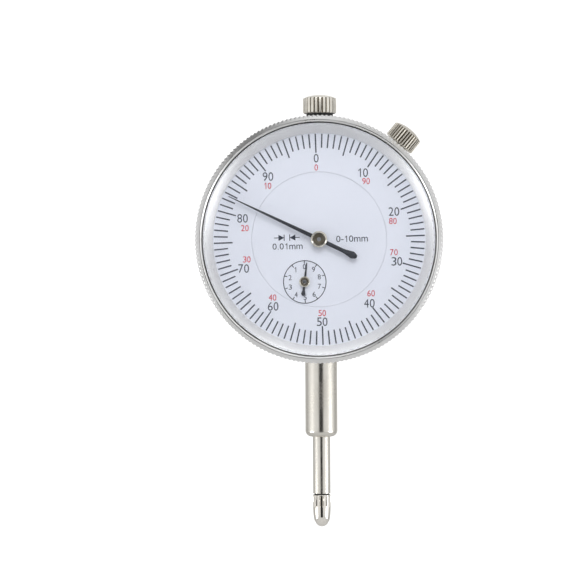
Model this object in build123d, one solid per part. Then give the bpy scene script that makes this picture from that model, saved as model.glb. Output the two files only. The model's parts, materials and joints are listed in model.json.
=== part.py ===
from build123d import *
from math import atan2, ceil, cos, degrees, pi, radians, sin, tan
import os

# A dial indicator with 0-10 mm of travel and 0.01 mm divisions.
# Millimetres. +Z is up along the spindle and the dial faces -Y.
# Every shape is drawn about the dial's centre and is lifted by DIAL_Z when it is written,
# so that the origin lies on the stem's axis, half way along the plain length that a clamp grips.

# Measuring rod and its guides
STEM_R = 4.0
STEM_SPIGOT_R = 3.8
STEM_TOP = -23.8
STEM_BOTTOM = -48.8
STEM_BORE_R = 3.0
STEM_MOUTH_R = 2.4
STEM_LIP = 0.6
STEM_EDGE = 1.5
STEM_BOSS_R = 5.0
STEM_BOSS_BOTTOM = -29.6
DIAL_Z = -(STEM_BOSS_BOTTOM + STEM_BOTTOM + STEM_EDGE) / 2
SPINDLE_R = 2.175
SPINDLE_BOTTOM = -62.9
SPINDLE_RUNNING_GAP = 0.025
BUSHING_LENGTH = 8.5
NECK_R = 3.3
NECK_TOP = 31.35
NECK_BOSS_R = 4.6
NECK_BOSS_TOP = 29.4
NECK_SLEEVE_R = NECK_R - 0.5
CAP_R = 4.175
CAP_FLUTES = 25
CAP_FLUTE_DEEP = 0.3
CAP_SPIGOT_R = 1.5
CAP_SPIGOT_TOP = 34.0
CAP_BOTTOM = 31.45
CAP_KNURL_TOP = 35.35
CAP_TOP = 36.15
TIP_BOTTOM = -71.2
TIP_THREAD_R = 1.25
TIP_THREAD_TOP = -60.1
TIP_FLUTES = 16
TIP_FLUTE_R = 0.28
BALL_R = 1.7

# Case, seen from the side: each plane is a distance behind the spindle's axis
CASE_R = 28.0
CASE_INNER_R = 25.8
SPIGOT_R = 27.2
CASE_EDGE = 0.4
CASE_BACK = 8.0
CASE_SHOULDER = -5.2
WEB_BACK = -8.4
WEB_FRONT = -9.4
DIAL_BACK = -9.7
DIAL_FRONT = -10.1
COVER_BACK = 9.5
COVER_R = 27.4
COVER_EDGE = 0.5
WIRE_Y = -6.6
WIRE_R = 0.3
WIRE_GROOVE_HALF = 0.4
POINTER_HOLE_R = 1.6
DIAL_FOOT_R = 0.6

# Bezel
BEZEL_R = 30.3
BEZEL_BORE_R = 27.3
BEZEL_SEAT_R = 28.4
BEZEL_BACK = -5.5
BEZEL_FRONT = -13.75
CRYSTAL_R = 28.35
CRYSTAL_FRONT = -13.6
CRYSTAL_BACK = -12.6
BEZEL_LIP_INNER_R = 28.75
BEZEL_LIP_OUTER_R = 29.2
BEZEL_CORE_R = 29.65
BEZEL_CORE_FRONT = -13.3
BEZEL_BAND_FRONT = -12.9
BEZEL_BAND_WIDTH = 6.6
BEZEL_FLUTES = 176
BEZEL_FLUTE_DEEP = 0.35
DIAL_SEAM_R = 16.5
DIAL_SEAM_GAP = 0.1
SEAT_GAP = 0.05
FLANGE_INNER_R = 26.0

# Bezel clamp
CLAMP_ANGLE = 40.0  # degrees clockwise from the top
CLAMP_Y = -8.4
CLAMP_SHANK_R = 1.0
CLAMP_HEAD_R = 3.9
CLAMP_HEAD_START = 30.4
CLAMP_KNURL_END = 34.2
CLAMP_HEAD_END = 35.0
CLAMP_FLUTES = 32
CLAMP_FLUTE_DEEP = 0.25
CLAMP_PAD_R = 0.95
CLAMP_PAD_END = 27.75
CLAMP_THREAD_GAP = 0.02

# Gear train: one turn of the pointer is 1 mm of travel
RACK_PITCH = 0.625
MODULE = RACK_PITCH / pi
RACK_PINION_TEETH = 16
WHEEL_TEETH = 100
CENTRE_TEETH = 10
PRESSURE_ANGLE = radians(20)
BACKLASH = 0.03
CENTRE_DISTANCE = MODULE * (WHEEL_TEETH + CENTRE_TEETH) / 2
COUNTER_X = -3.6
COUNTER_Z = -((CENTRE_DISTANCE**2 - COUNTER_X**2) ** 0.5)
TAKEUP_X = -COUNTER_X
TAKEUP_Z = -COUNTER_Z
LINE_ANGLE = degrees(atan2(TAKEUP_Z, TAKEUP_X))
TRAVEL = 10.4
RACK_SPARE_NOTCHES = 2

# Movement, front to back
BRIDGE_FRONT = -7.9
BRIDGE_BACK = -7.0
HAIRSPRING_FRONT = -6.6
HAIRSPRING_BACK = -6.1
WHEEL_FRONT = -5.5
WHEEL_BACK = -4.7
PLATE_FRONT = -3.7
PLATE_BACK = -2.5
COCK_FRONT = 2.5
COCK_BACK = 3.5
PIVOT_R = 0.5
BUSH_BORE_R = 0.54
BUSH_R = 1.0
ARBOR_R = 0.9
CENTRE_ARBOR_R = 0.65
CENTRE_ARBOR_FRONT = -11.9
COUNTER_ARBOR_FRONT = -10.85
END_PLAY = 0.15
PILLAR_ACROSS = 13.0
PILLAR_ALONG = 3.5

# Spindle guide and return spring
GUIDE_PIN_Z = 6.0
GUIDE_PIN_R = 1.0
GUIDE_PIN_SHANK_R = 0.8
RAIL_X = 4.2
RAIL_THICK = 2.0
RAIL_SCREW_Z = (2.4, 19.6)
SPRING_X = 7.8
SPRING_POST_Z = -18.0
SPRING_WIRE_R = 0.2

# Pointers, degrees to the left of the top at rest, and the planes of their sheet
POINTER_ANGLE = 64.3
POINTER_FRONT = -11.45
POINTER_BACK = -11.2
POINTER_HUB_R = 2.0
POINTER_HUB_FACE_R = 1.6
COUNTER_ANGLE = -6.8
COUNTER_FRONT = -10.65
COUNTER_BACK = -10.45
COUNTER_HUB_R = 1.3

# Lug on the back
LUG_HOLE_R = 3.25
LUG_THICK = 5.0
LUG_EYE_R = 6.5
LUG_HOLE_Y = 16.5
LUG_BASE_BACK = 12.0
LUG_BASE_HALF_X = 5.0
LUG_BASE_HALF_Z = 8.0
LUG_SCREW_Z = (-5.2, 5.2)


def rod_y(radius, front, back, x=0.0, z=0.0):
    """A cylinder that runs front to back."""
    length = back - front
    return Pos(x, (front + back) / 2, z) * Rot(90, 0, 0) * Cylinder(radius, length)


def rod_z(radius, low, high, x=0.0, y=0.0):
    """An upright cylinder."""
    return Pos(x, y, (low + high) / 2) * Cylinder(radius, high - low)


def rod_x(radius, left, right, y=0.0, z=0.0):
    """A cylinder that runs left to right."""
    return Pos((left + right) / 2, y, z) * Rot(0, 90, 0) * Cylinder(radius, right - left)


def tube_y(outer, inner, front, back, x=0.0, z=0.0):
    """A ring or a bush that runs front to back."""
    return rod_y(outer, front, back, x, z) - rod_y(inner, front - 1, back + 1, x, z)


def turned_y(points):
    """A shape turned about the dial's axis from its (radius, depth) outline."""
    return revolve(make_face(Polyline(*points, close=True)), Axis.Y)


def turned_z(points):
    """A shape turned about the spindle's axis from its (radius, height) outline."""
    return revolve(Plane.XZ * make_face(Polyline(*points, close=True)), Axis.Z)


def block(x0, x1, y0, y1, z0, z1):
    """A box between two corners."""
    centre = Pos((x0 + x1) / 2, (y0 + y1) / 2, (z0 + z1) / 2)
    return centre * Box(x1 - x0, y1 - y0, z1 - z0)


def around(radius, angle):
    """The (x, z) of a place on a circle about the dial's centre, its angle from +X."""
    return radius * cos(radians(angle)), radius * sin(radians(angle))


def along_line(along, across):
    """The (x, z) of a place beside the line through the three arbors."""
    x1, z1 = around(along, LINE_ANGLE)
    x2, z2 = around(across, LINE_ANGLE - 90)
    return x1 + x2, z1 + z2


def fluted_bar(radius, depth, count, length):
    """A bar along Z with straight V flutes, standing on the XY plane."""
    points = []
    for i in range(2 * count):
        r = radius if i % 2 == 0 else radius - depth
        points.append((r * cos(pi * i / count), r * sin(pi * i / count)))
    return extrude(make_face(Polyline(*points, close=True)), length)


def dome(radius, low, high):
    """A shallow spherical cap that stands on a level."""
    height = high - low
    ball_r = (radius**2 + height**2) / (2 * height)
    cap = Pos(0, 0, high - ball_r) * Sphere(ball_r)
    return cap & rod_z(radius + 1, low, high + 1)


def screw_back(x, z, head_front, shank_end, head_r, head_height, shank_r):
    """A slotted screw whose head faces forwards and whose shank runs back."""
    head_back = head_front + head_height
    screw = rod_y(head_r, head_front, head_back, x, z) + rod_y(shank_r, head_back, shank_end, x, z)
    slot_half = head_r * 0.14
    slot_deep = head_front + head_height * 0.45
    slot = block(x - head_r, x + head_r, head_front, slot_deep, z - slot_half, z + slot_half)
    return screw - slot


def screw_front(x, z, head_back, shank_end, head_r, head_height, shank_r):
    """The same screw with its head at the back and its shank running forwards."""
    return Rot(0, 0, 180) * screw_back(-x, z, -head_back, -shank_end, head_r, head_height, shank_r)


def involute(angle):
    """The involute function, in radians."""
    return tan(angle) - angle


def tooth_half_angle(teeth, radius, backlash):
    """Half the angle that an involute tooth takes up at a radius."""
    pitch_r = MODULE * teeth / 2
    base_r = pitch_r * cos(PRESSURE_ANGLE)
    at_pitch = pi / (2 * teeth) - backlash / (2 * pitch_r)
    reach = max(radius, base_r)
    slope = 0.0 if reach == base_r else atan2((reach**2 - base_r**2) ** 0.5, base_r)
    return at_pitch + involute(PRESSURE_ANGLE) - involute(slope)


def gear(teeth, addendum, thickness, turn, flank_steps):
    """A spur gear that lies on XY, with a tooth centred turn degrees from +X."""
    pitch_r = MODULE * teeth / 2
    root_r = pitch_r - 1.25 * MODULE
    tip_r = pitch_r + addendum * MODULE
    radii = [root_r + (tip_r - root_r) * i / flank_steps for i in range(flank_steps + 1)]
    points = []
    for tooth in range(teeth):
        middle = radians(turn) + 2 * pi * tooth / teeth
        halves = [tooth_half_angle(teeth, r, BACKLASH) for r in radii]
        right = [(r, middle - half) for r, half in zip(radii, halves)]
        left = [(r, middle + half) for r, half in zip(radii, halves)]
        for r, angle in right + left[::-1]:
            points.append((r * cos(angle), r * sin(angle)))
    return extrude(make_face(Polyline(*points, close=True)), thickness)


def stand_gear(flat_gear, front, x=0.0, z=0.0):
    """Turn a gear drawn on XY so that its axis runs front to back."""
    # XY is seen from the front as XZ, and the gear's thickness then runs backwards
    return Pos(x, front, z) * Rot(90, 0, 0) * mirror(flat_gear, Plane.XY)


# ---- places that more than one part shares, as (x, z) ----

PLATE_SCREWS = [around(22.3, angle) for angle in (0, 135, 225)]
COVER_SCREWS = [around(23.6, angle) for angle in (45, 135, 225, 315)]
DIAL_FEET = [around(12.0, angle) for angle in (20, 200)]
PILLARS = [along_line(a, c) for a in (-PILLAR_ALONG, PILLAR_ALONG) for c in (-PILLAR_ACROSS, PILLAR_ACROSS)]
COCK_SCREWS = [(-8.2, -13.0), (-8.2, -7.7)]
RAIL_SCREWS = [(RAIL_X + RAIL_THICK / 2, z) for z in RAIL_SCREW_Z]
FLUSH_SCREWS = COCK_SCREWS + RAIL_SCREWS
CENTRE = (0, 0)
COUNTER = (COUNTER_X, COUNTER_Z)
TAKEUP = (TAKEUP_X, TAKEUP_Z)
ARBORS = [CENTRE, COUNTER, TAKEUP]


# ---- case, stem and back ----


def make_case_body():
    """The cup that holds the movement, with its web behind the dial and its two bosses."""
    shell = rod_y(CASE_R, CASE_SHOULDER, CASE_BACK)
    shell = chamfer(shell.edges().filter_by(GeomType.CIRCLE), CASE_EDGE)
    body = shell + rod_y(SPIGOT_R, WEB_FRONT, CASE_SHOULDER)
    body -= rod_y(CASE_INNER_R, WEB_BACK, CASE_BACK + 1)
    body += rod_y(DIAL_SEAM_R - DIAL_SEAM_GAP, DIAL_BACK, WEB_FRONT)
    groove_inner = SPIGOT_R - WIRE_R - 0.05
    body -= tube_y(SPIGOT_R + 1, groove_inner, WIRE_Y - WIRE_GROOVE_HALF, WIRE_Y + WIRE_GROOVE_HALF)
    body += rod_z(STEM_BOSS_R, STEM_BOSS_BOTTOM, -24.5)
    body += rod_z(NECK_BOSS_R, 24.5, NECK_BOSS_TOP)
    for x, z in PLATE_SCREWS:
        body += rod_y(2.0, WEB_BACK, PLATE_FRONT, x, z)
        body -= rod_y(0.8, -7.0, PLATE_FRONT + 1, x, z)
    for x, z in COVER_SCREWS:
        body += rod_y(2.4, 1.5, CASE_BACK, x, z)
        body -= rod_y(0.9, 3.0, CASE_BACK + 1, x, z)
    body -= rod_z(STEM_SPIGOT_R, -31, -22)
    body -= rod_z(NECK_SLEEVE_R, 22, 31)
    for x, z in (CENTRE, COUNTER):
        body -= rod_y(POINTER_HOLE_R, DIAL_BACK - 1, WEB_BACK + 1, x, z)
    for x, z in DIAL_FEET:
        body -= rod_y(DIAL_FOOT_R, DIAL_BACK - 1, WEB_BACK + 1, x, z)
    return body


def make_stem():
    """The plain tube that a holder grips, with a thinner spigot inside the case's boss."""
    tube = rod_z(STEM_R, STEM_BOTTOM, STEM_BOSS_BOTTOM)
    rim = tube.edges().filter_by(GeomType.CIRCLE).sort_by(Axis.Z)[0]
    tube = fillet(rim, STEM_EDGE) + rod_z(STEM_SPIGOT_R, STEM_BOSS_BOTTOM, STEM_TOP)
    bore = rod_z(STEM_BORE_R, STEM_BOTTOM + STEM_LIP, STEM_TOP + 1)
    return tube - bore - rod_z(STEM_MOUTH_R, STEM_BOTTOM - 1, STEM_TOP)


def make_bushing(outer, low, high):
    """A plain sleeve that the spindle slides in."""
    return rod_z(outer, low, high) - rod_z(SPINDLE_R + SPINDLE_RUNNING_GAP, low - 1, high + 1)


def make_lower_bushing():
    bottom = STEM_BOTTOM + STEM_LIP
    return make_bushing(STEM_BORE_R, bottom, bottom + BUSHING_LENGTH)


def make_upper_bushing():
    sleeve = make_bushing(NECK_SLEEVE_R, 24.5, NECK_TOP)
    return sleeve + make_bushing(NECK_R, NECK_BOSS_TOP, NECK_TOP)


def make_back_cover():
    cover = rod_y(COVER_R, CASE_BACK, COVER_BACK)
    rim = cover.edges().filter_by(GeomType.CIRCLE).sort_by(Axis.Y)[-1]
    cover = chamfer(rim, COVER_EDGE)
    for x, z in COVER_SCREWS:
        cover -= rod_y(1.1, CASE_BACK - 1, COVER_BACK + 1, x, z)
        cover -= rod_y(1.9, COVER_BACK - 0.8, COVER_BACK + 1, x, z)
    for z in LUG_SCREW_Z:
        cover -= rod_y(1.0, CASE_BACK - 1, COVER_BACK + 1, 0, z)
    return cover


def make_back_cover_screws():
    return [screw_front(x, z, COVER_BACK - 0.05, 4.0, 1.8, 0.75, 0.9) for x, z in COVER_SCREWS]


def make_back_lug():
    across, up = LUG_BASE_HALF_X, LUG_BASE_HALF_Z
    base = block(-across, across, COVER_BACK, LUG_BASE_BACK, -up, up)
    base = fillet(base.edges().filter_by(Axis.Y), across - 1)
    half = LUG_THICK / 2
    eye = block(-half, half, LUG_BASE_BACK - 1, LUG_HOLE_Y, -LUG_EYE_R, LUG_EYE_R)
    eye += rod_x(LUG_EYE_R, -half, half, LUG_HOLE_Y, 0)
    lug = base + eye - rod_x(LUG_HOLE_R, -half - 1, half + 1, LUG_HOLE_Y, 0)
    for z in LUG_SCREW_Z:
        lug -= rod_y(1.0, COVER_BACK - 1, LUG_BASE_BACK - 0.4, 0, z)
    return lug


def make_lug_screws():
    return [screw_back(0, z, 7.1, 11.4, 1.8, 0.9, 1.0) for z in LUG_SCREW_Z]


def make_inner_dial():
    dial = rod_y(DIAL_SEAM_R - DIAL_SEAM_GAP, DIAL_FRONT, DIAL_BACK)
    for x, z in DIAL_FEET:
        dial += rod_y(DIAL_FOOT_R, DIAL_BACK, WEB_BACK, x, z)
    dial -= rod_y(1.2, DIAL_FRONT - 1, DIAL_BACK + 1)
    return dial - rod_y(1.0, DIAL_FRONT - 1, DIAL_BACK + 1, COUNTER_X, COUNTER_Z)


# ---- bezel and its clamp ----


def to_clamp(shape):
    """Stand a shape drawn about Z, with Z its distance from the dial's axis, on the clamp's line."""
    return Rot(0, CLAMP_ANGLE, 0) * Pos(0, CLAMP_Y, 0) * shape


def make_bezel_ring():
    """The turned ring that holds the crystal, with its fluted grip and the hole for the clamp."""
    ring = turned_y(
        [
            (BEZEL_BORE_R, BEZEL_BACK),
            (BEZEL_BORE_R, DIAL_BACK),
            (BEZEL_SEAT_R, DIAL_BACK),
            (BEZEL_SEAT_R, CRYSTAL_FRONT + 0.1),
            (BEZEL_LIP_INNER_R, BEZEL_FRONT),
            (BEZEL_LIP_OUTER_R, BEZEL_FRONT),
            (BEZEL_CORE_R, BEZEL_CORE_FRONT),
            (BEZEL_CORE_R, BEZEL_BACK),
        ]
    )
    grip = fluted_bar(BEZEL_R, BEZEL_FLUTE_DEEP, BEZEL_FLUTES, BEZEL_BAND_WIDTH)
    ring += stand_gear(grip, BEZEL_BAND_FRONT) - rod_y(29.0, -14, BEZEL_BACK)
    groove_outer = BEZEL_BORE_R + WIRE_R + 0.05
    ring -= tube_y(groove_outer, BEZEL_BORE_R - 1, WIRE_Y - WIRE_GROOVE_HALF, WIRE_Y + WIRE_GROOVE_HALF)
    return ring - to_clamp(rod_z(CLAMP_SHANK_R + SEAT_GAP, 26, 32))


def make_crystal():
    return turned_y(
        [
            (0, CRYSTAL_BACK),
            (CRYSTAL_R, CRYSTAL_BACK),
            (CRYSTAL_R, CRYSTAL_FRONT + 0.3),
            (CRYSTAL_R - 0.3, CRYSTAL_FRONT),
            (0, CRYSTAL_FRONT),
        ]
    )


def make_dial_flange_ring():
    return turned_y(
        [
            (FLANGE_INNER_R, DIAL_FRONT),
            (BEZEL_SEAT_R - SEAT_GAP, DIAL_FRONT),
            (BEZEL_SEAT_R - SEAT_GAP, CRYSTAL_BACK),
            (28.1, CRYSTAL_BACK),
            (FLANGE_INNER_R, DIAL_FRONT - 0.2),
        ]
    )


def make_outer_dial():
    return tube_y(BEZEL_SEAT_R - SEAT_GAP, DIAL_SEAM_R + DIAL_SEAM_GAP, DIAL_FRONT, DIAL_BACK)


def make_bezel_wire():
    """A spring wire, open at the bottom, in the two facing grooves of case and bezel."""
    ring = Rot(90, 0, 0) * Torus((SPIGOT_R + BEZEL_BORE_R) / 2, WIRE_R)
    mouth = block(-6, 6, -2, 2, -30, -20)
    return Pos(0, WIRE_Y, 0) * (ring - mouth)


def make_clamp_pad():
    return to_clamp(rod_z(CLAMP_PAD_R, SPIGOT_R + SEAT_GAP, CLAMP_PAD_END))


def make_clamp_screw():
    shank = rod_z(CLAMP_SHANK_R, CLAMP_PAD_END + CLAMP_THREAD_GAP, CLAMP_HEAD_START)
    knurl = fluted_bar(CLAMP_HEAD_R, CLAMP_FLUTE_DEEP, CLAMP_FLUTES, CLAMP_KNURL_END - CLAMP_HEAD_START)
    head = Pos(0, 0, CLAMP_HEAD_START) * knurl
    return to_clamp(shank + head + dome(CLAMP_HEAD_R - CLAMP_FLUTE_DEEP, CLAMP_KNURL_END, CLAMP_HEAD_END))


# ---- spindle ----


def make_spindle():
    """The measuring rod, with rack notches on its left side for the whole travel."""
    rod = rod_z(SPINDLE_R, SPINDLE_BOTTOM, CAP_BOTTOM)
    rod += rod_z(CAP_SPIGOT_R, CAP_BOTTOM, CAP_SPIGOT_TOP)
    rod -= rod_z(TIP_THREAD_R, SPINDLE_BOTTOM - 1, TIP_THREAD_TOP + 0.1)
    rod -= rod_x(GUIDE_PIN_SHANK_R, 0, 3, 0, GUIDE_PIN_Z)
    pitch_x = COUNTER_X + MODULE * RACK_PINION_TEETH / 2
    notch_half = RACK_PITCH / 4 + BACKLASH / 2
    deep = 1.25 * MODULE
    out = 0.4
    slope = tan(PRESSURE_ANGLE)
    points = [
        (pitch_x + deep, -notch_half + deep * slope),
        (pitch_x + deep, notch_half - deep * slope),
        (pitch_x - out, notch_half + out * slope),
        (pitch_x - out, -notch_half - out * slope),
    ]
    notch = extrude(Plane.XZ * make_face(Polyline(*points, close=True)), 3, both=True)
    lowest = -ceil(TRAVEL / RACK_PITCH) - RACK_SPARE_NOTCHES
    for i in range(lowest, RACK_SPARE_NOTCHES + 1):
        rod -= Pos(0, 0, COUNTER_Z + i * RACK_PITCH) * notch
    return rod


def make_stop_cap():
    knurl = fluted_bar(CAP_R, CAP_FLUTE_DEEP, CAP_FLUTES, CAP_KNURL_TOP - CAP_BOTTOM)
    cap = Pos(0, 0, CAP_BOTTOM) * knurl
    cap += dome(CAP_R - CAP_FLUTE_DEEP, CAP_KNURL_TOP, CAP_TOP)
    return cap - rod_z(CAP_SPIGOT_R, CAP_BOTTOM - 1, CAP_SPIGOT_TOP + 0.1)


def make_guide_pin():
    """The peg that runs in the guide rail, with a waist for the spring and a head to keep it on."""
    waist_start = SPRING_X - 0.4
    waist_end = SPRING_X + 0.4
    pin = rod_x(GUIDE_PIN_SHANK_R, 0.1, 2.3, 0, GUIDE_PIN_Z)
    pin += rod_x(GUIDE_PIN_R, 2.3, waist_start, 0, GUIDE_PIN_Z)
    pin += rod_x(0.7, waist_start, waist_end, 0, GUIDE_PIN_Z)
    return pin + rod_x(1.1, waist_end, waist_end + 0.6, 0, GUIDE_PIN_Z)


def make_contact_holder():
    body = turned_z(
        [
            (0, TIP_THREAD_TOP),
            (TIP_THREAD_R, TIP_THREAD_TOP),
            (TIP_THREAD_R, SPINDLE_BOTTOM),
            (1.8, SPINDLE_BOTTOM),
            (1.8, SPINDLE_BOTTOM - 0.3),
            (2.25, SPINDLE_BOTTOM - 0.4),
            (2.25, -66.2),
            (2.1, -66.5),
            (2.05, -67.8),
            (1.92, -69.1),
            (1.78, -69.9),
            (0, -69.9),
        ]
    )
    flute = rod_z(TIP_FLUTE_R, -66.25, SPINDLE_BOTTOM - 0.2, SPINDLE_R + 0.2, 0)
    for i in range(TIP_FLUTES):
        body -= Rot(0, 0, i * 360 / TIP_FLUTES) * flute
    return body - make_contact_ball()


def make_contact_ball():
    return Pos(0, 0, TIP_BOTTOM + BALL_R) * Sphere(BALL_R)


def make_guide_rail():
    rail = block(RAIL_X, RAIL_X + RAIL_THICK, PLATE_BACK, 2.5, 1, 21)
    slot = block(RAIL_X - 1, RAIL_X + RAIL_THICK + 1, -1.03, 1.03, 4.5, 18)
    rail -= slot
    for z in RAIL_SCREW_Z:
        rail -= rod_y(0.6, PLATE_BACK - 1, 1.0, RAIL_X + RAIL_THICK / 2, z)
    return rail


def make_return_spring():
    """A tension spring: sixteen open turns, a loop on the guide pin and a loop on the post."""
    wire = SPRING_WIRE_R
    radius = 1.3
    turns = 16
    top = GUIDE_PIN_Z - 1.6
    bottom = SPRING_POST_Z + 2.2
    coil = Helix((top - bottom) / turns, top - bottom, radius)
    section = Plane(coil @ 0, z_dir=coil % 0) * Circle(wire)
    spring = Pos(SPRING_X, 0, bottom) * sweep(section, path=coil, is_frenet=True)
    # the legs sink a little into the coil's ends, so that all is one wire
    sink = wire / 4
    reach = SPRING_X + radius + sink
    upper = Pos(SPRING_X, 0, GUIDE_PIN_Z) * Rot(0, 90, 0) * Torus(0.95, wire)
    upper += rod_z(wire, top - sink, GUIDE_PIN_Z - 0.95, SPRING_X, 0)
    upper += rod_x(wire, SPRING_X, reach, 0, top - sink)
    lower = Pos(SPRING_X, 0, SPRING_POST_Z) * Rot(90, 0, 0) * Torus(1.25, wire)
    lower += rod_z(wire, SPRING_POST_Z + 1.25, bottom + sink, SPRING_X, 0)
    lower += rod_x(wire, SPRING_X, reach, 0, bottom + sink)
    return spring + upper + lower


def make_spring_post():
    post = rod_y(1.0, PLATE_BACK, 0.8, SPRING_X, SPRING_POST_Z)
    return post + rod_y(1.4, 0.8, 1.3, SPRING_X, SPRING_POST_Z)


# ---- movement ----


def make_main_plate():
    plate = rod_y(24.6, PLATE_FRONT, PLATE_BACK) & block(-25, 25, -5, 0, -21.5, 21.5)
    plate -= rod_y(2.3, -5, 0, COUNTER_X, COUNTER_Z)
    for x, z in (CENTRE, TAKEUP):
        plate -= rod_y(BUSH_R, -5, 0, x, z)
    for x, z in PLATE_SCREWS:
        plate -= rod_y(0.9, -5, 0, x, z)
    for x, z in PILLARS:
        plate -= rod_y(0.6, -5, 0, x, z)
    for x, z in FLUSH_SCREWS:
        plate -= rod_y(0.6, -5, 0, x, z)
        plate -= rod_y(1.1, PLATE_FRONT - 1, PLATE_FRONT + 0.6, x, z)
    return plate


def make_main_plate_screws():
    return [screw_front(x, z, PLATE_BACK + 0.8, -6.5, 1.6, 0.8, 0.8) for x, z in PLATE_SCREWS]


def make_bridge_plate():
    middle = (BRIDGE_FRONT + BRIDGE_BACK) / 2
    thick = BRIDGE_BACK - BRIDGE_FRONT
    bar = Box(2 * CENTRE_DISTANCE + 5, thick, 6.0)
    bar = fillet(bar.edges().filter_by(Axis.Y), 2.9)
    wings = Box(2 * PILLAR_ALONG + 4.4, thick, 2 * PILLAR_ACROSS + 4.4)
    wings = fillet(wings.edges().filter_by(Axis.Y), 2.0)
    plate = Pos(0, middle, 0) * Rot(0, -LINE_ANGLE, 0) * (bar + wings)
    for x, z in ARBORS:
        plate -= rod_y(BUSH_R, -9, -6, x, z)
    for x, z in PILLARS:
        plate -= rod_y(0.6, -9, -6, x, z)
        plate -= rod_y(1.3, -9, BRIDGE_FRONT + 0.45, x, z)
    return plate


def make_plate_pillars():
    pillars = []
    for x, z in PILLARS:
        pillar = rod_y(1.5, BRIDGE_BACK, PLATE_FRONT, x, z)
        pillars.append(pillar - rod_y(0.6, BRIDGE_BACK - 1, PLATE_FRONT + 1, x, z))
    return pillars


def make_bridge_screws():
    return [screw_back(x, z, BRIDGE_FRONT, -5.6, 1.2, 0.45, 0.6) for x, z in PILLARS]


def make_pillar_screws():
    return [screw_front(x, z, PLATE_BACK + 0.5, -5.1, 1.2, 0.5, 0.6) for x, z in PILLARS]


def make_arbor_bushes():
    bushes = [tube_y(BUSH_R, BUSH_BORE_R, BRIDGE_FRONT, BRIDGE_BACK, x, z) for x, z in ARBORS]
    for x, z in (CENTRE, TAKEUP):
        bushes.append(tube_y(BUSH_R, BUSH_BORE_R, PLATE_FRONT, PLATE_BACK, x, z))
    bushes.append(tube_y(BUSH_R, BUSH_BORE_R, COCK_FRONT, COCK_BACK, COUNTER_X, COUNTER_Z))
    return bushes


def make_pinion_cock():
    foot = block(-9.8, -6.6, PLATE_BACK, COCK_BACK, -14.6, -6.1)
    arm = block(-9.8, -2.2, COCK_FRONT, COCK_BACK, COUNTER_Z - 2.2, COUNTER_Z + 2.2)
    cock = foot + arm - rod_y(BUSH_R, 0, 5, COUNTER_X, COUNTER_Z)
    for x, z in COCK_SCREWS:
        cock -= rod_y(0.6, PLATE_BACK - 1, 1.0, x, z)
    return cock


def flush_screw(x, z):
    """A small screw with its head flush in the front of the main plate."""
    return screw_back(x, z, PLATE_FRONT, 0.5, 1.05, 0.6, 0.6)


def make_hairspring():
    turns = 5.0
    inner_r = 1.5
    outer_r = 5.5
    half = 0.08
    steps = 60
    end_angle = radians(LINE_ANGLE + 180)
    sides = []
    for side in (-half, half):
        points = []
        for i in range(steps + 1):
            part = i / steps
            angle = end_angle - 2 * pi * turns * (1 - part)
            r = inner_r + (outer_r - inner_r) * part + side
            points.append((r * cos(angle), r * sin(angle)))
        sides.append(points)
    near = Spline(*sides[0])
    far = Spline(*sides[1])
    edges = [near, Line(near @ 1, far @ 1), far, Line(far @ 0, near @ 0)]
    strip = extrude(make_face(edges), HAIRSPRING_BACK - HAIRSPRING_FRONT)
    return stand_gear(strip, HAIRSPRING_FRONT, TAKEUP_X, TAKEUP_Z)


def make_hairspring_stud():
    x, z = along_line(CENTRE_DISTANCE - 6.1, 0)
    return rod_y(0.5, BRIDGE_BACK, HAIRSPRING_BACK, x, z)


def make_hairspring_collet():
    return tube_y(1.35, ARBOR_R, HAIRSPRING_FRONT - 0.1, HAIRSPRING_BACK + 0.1, TAKEUP_X, TAKEUP_Z)


def wheel(x, z, turn):
    """A 100-tooth wheel with round lightening holes."""
    flat = gear(WHEEL_TEETH, 0.85, WHEEL_BACK - WHEEL_FRONT, turn, 1)
    for i in range(5):
        hx, hz = around(5.6, 72 * i + turn)
        flat -= Pos(hx, hz, 0) * Cylinder(2.3, 4)
    flat -= Cylinder(ARBOR_R, 4)
    return stand_gear(flat, WHEEL_FRONT, x, z)


def arbor(front, body_front, body_back, back, body_r, x=0.0, z=0.0):
    """A shaft with a thick middle and a thin pivot at each end."""
    return rod_y(PIVOT_R, front, back, x, z) + rod_y(body_r, body_front, body_back, x, z)


def make_rack_pinion_arbor():
    front = BRIDGE_BACK + END_PLAY
    back = COCK_FRONT - END_PLAY
    shaft = arbor(COUNTER_ARBOR_FRONT, front, back, COCK_BACK - 0.1, ARBOR_R, COUNTER_X, COUNTER_Z)
    teeth = gear(RACK_PINION_TEETH, 1.0, 3.0, 0.0, 3)
    return shaft + stand_gear(teeth, -1.5, COUNTER_X, COUNTER_Z)


def make_centre_arbor():
    front = BRIDGE_BACK + END_PLAY
    back = PLATE_FRONT - END_PLAY
    shaft = arbor(CENTRE_ARBOR_FRONT, front, back, PLATE_BACK - 0.1, CENTRE_ARBOR_R)
    # a gap, not a tooth, faces each of the two wheels
    teeth = gear(CENTRE_TEETH, 1.0, 1.6, LINE_ANGLE + 180 / CENTRE_TEETH, 4)
    return shaft + stand_gear(teeth, -5.9)


def make_takeup_arbor():
    front = BRIDGE_FRONT
    back = PLATE_BACK - 0.1
    return arbor(front, BRIDGE_BACK + END_PLAY, PLATE_FRONT - END_PLAY, back, ARBOR_R, TAKEUP_X, TAKEUP_Z)


# ---- pointers ----


def pointer(points, angle, front, back, x, z, eye_r, hole_r):
    """A flat pointer with a round eye, drawn pointing up and then turned to the left."""
    blade = extrude(make_face(Polyline(*points, close=True)), back - front)
    blade += Pos(0, 0, (back - front) / 2) * Cylinder(eye_r, back - front)
    blade -= Cylinder(hole_r, 4)
    return stand_gear(Rot(0, 0, angle) * blade, front, x, z)


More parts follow.
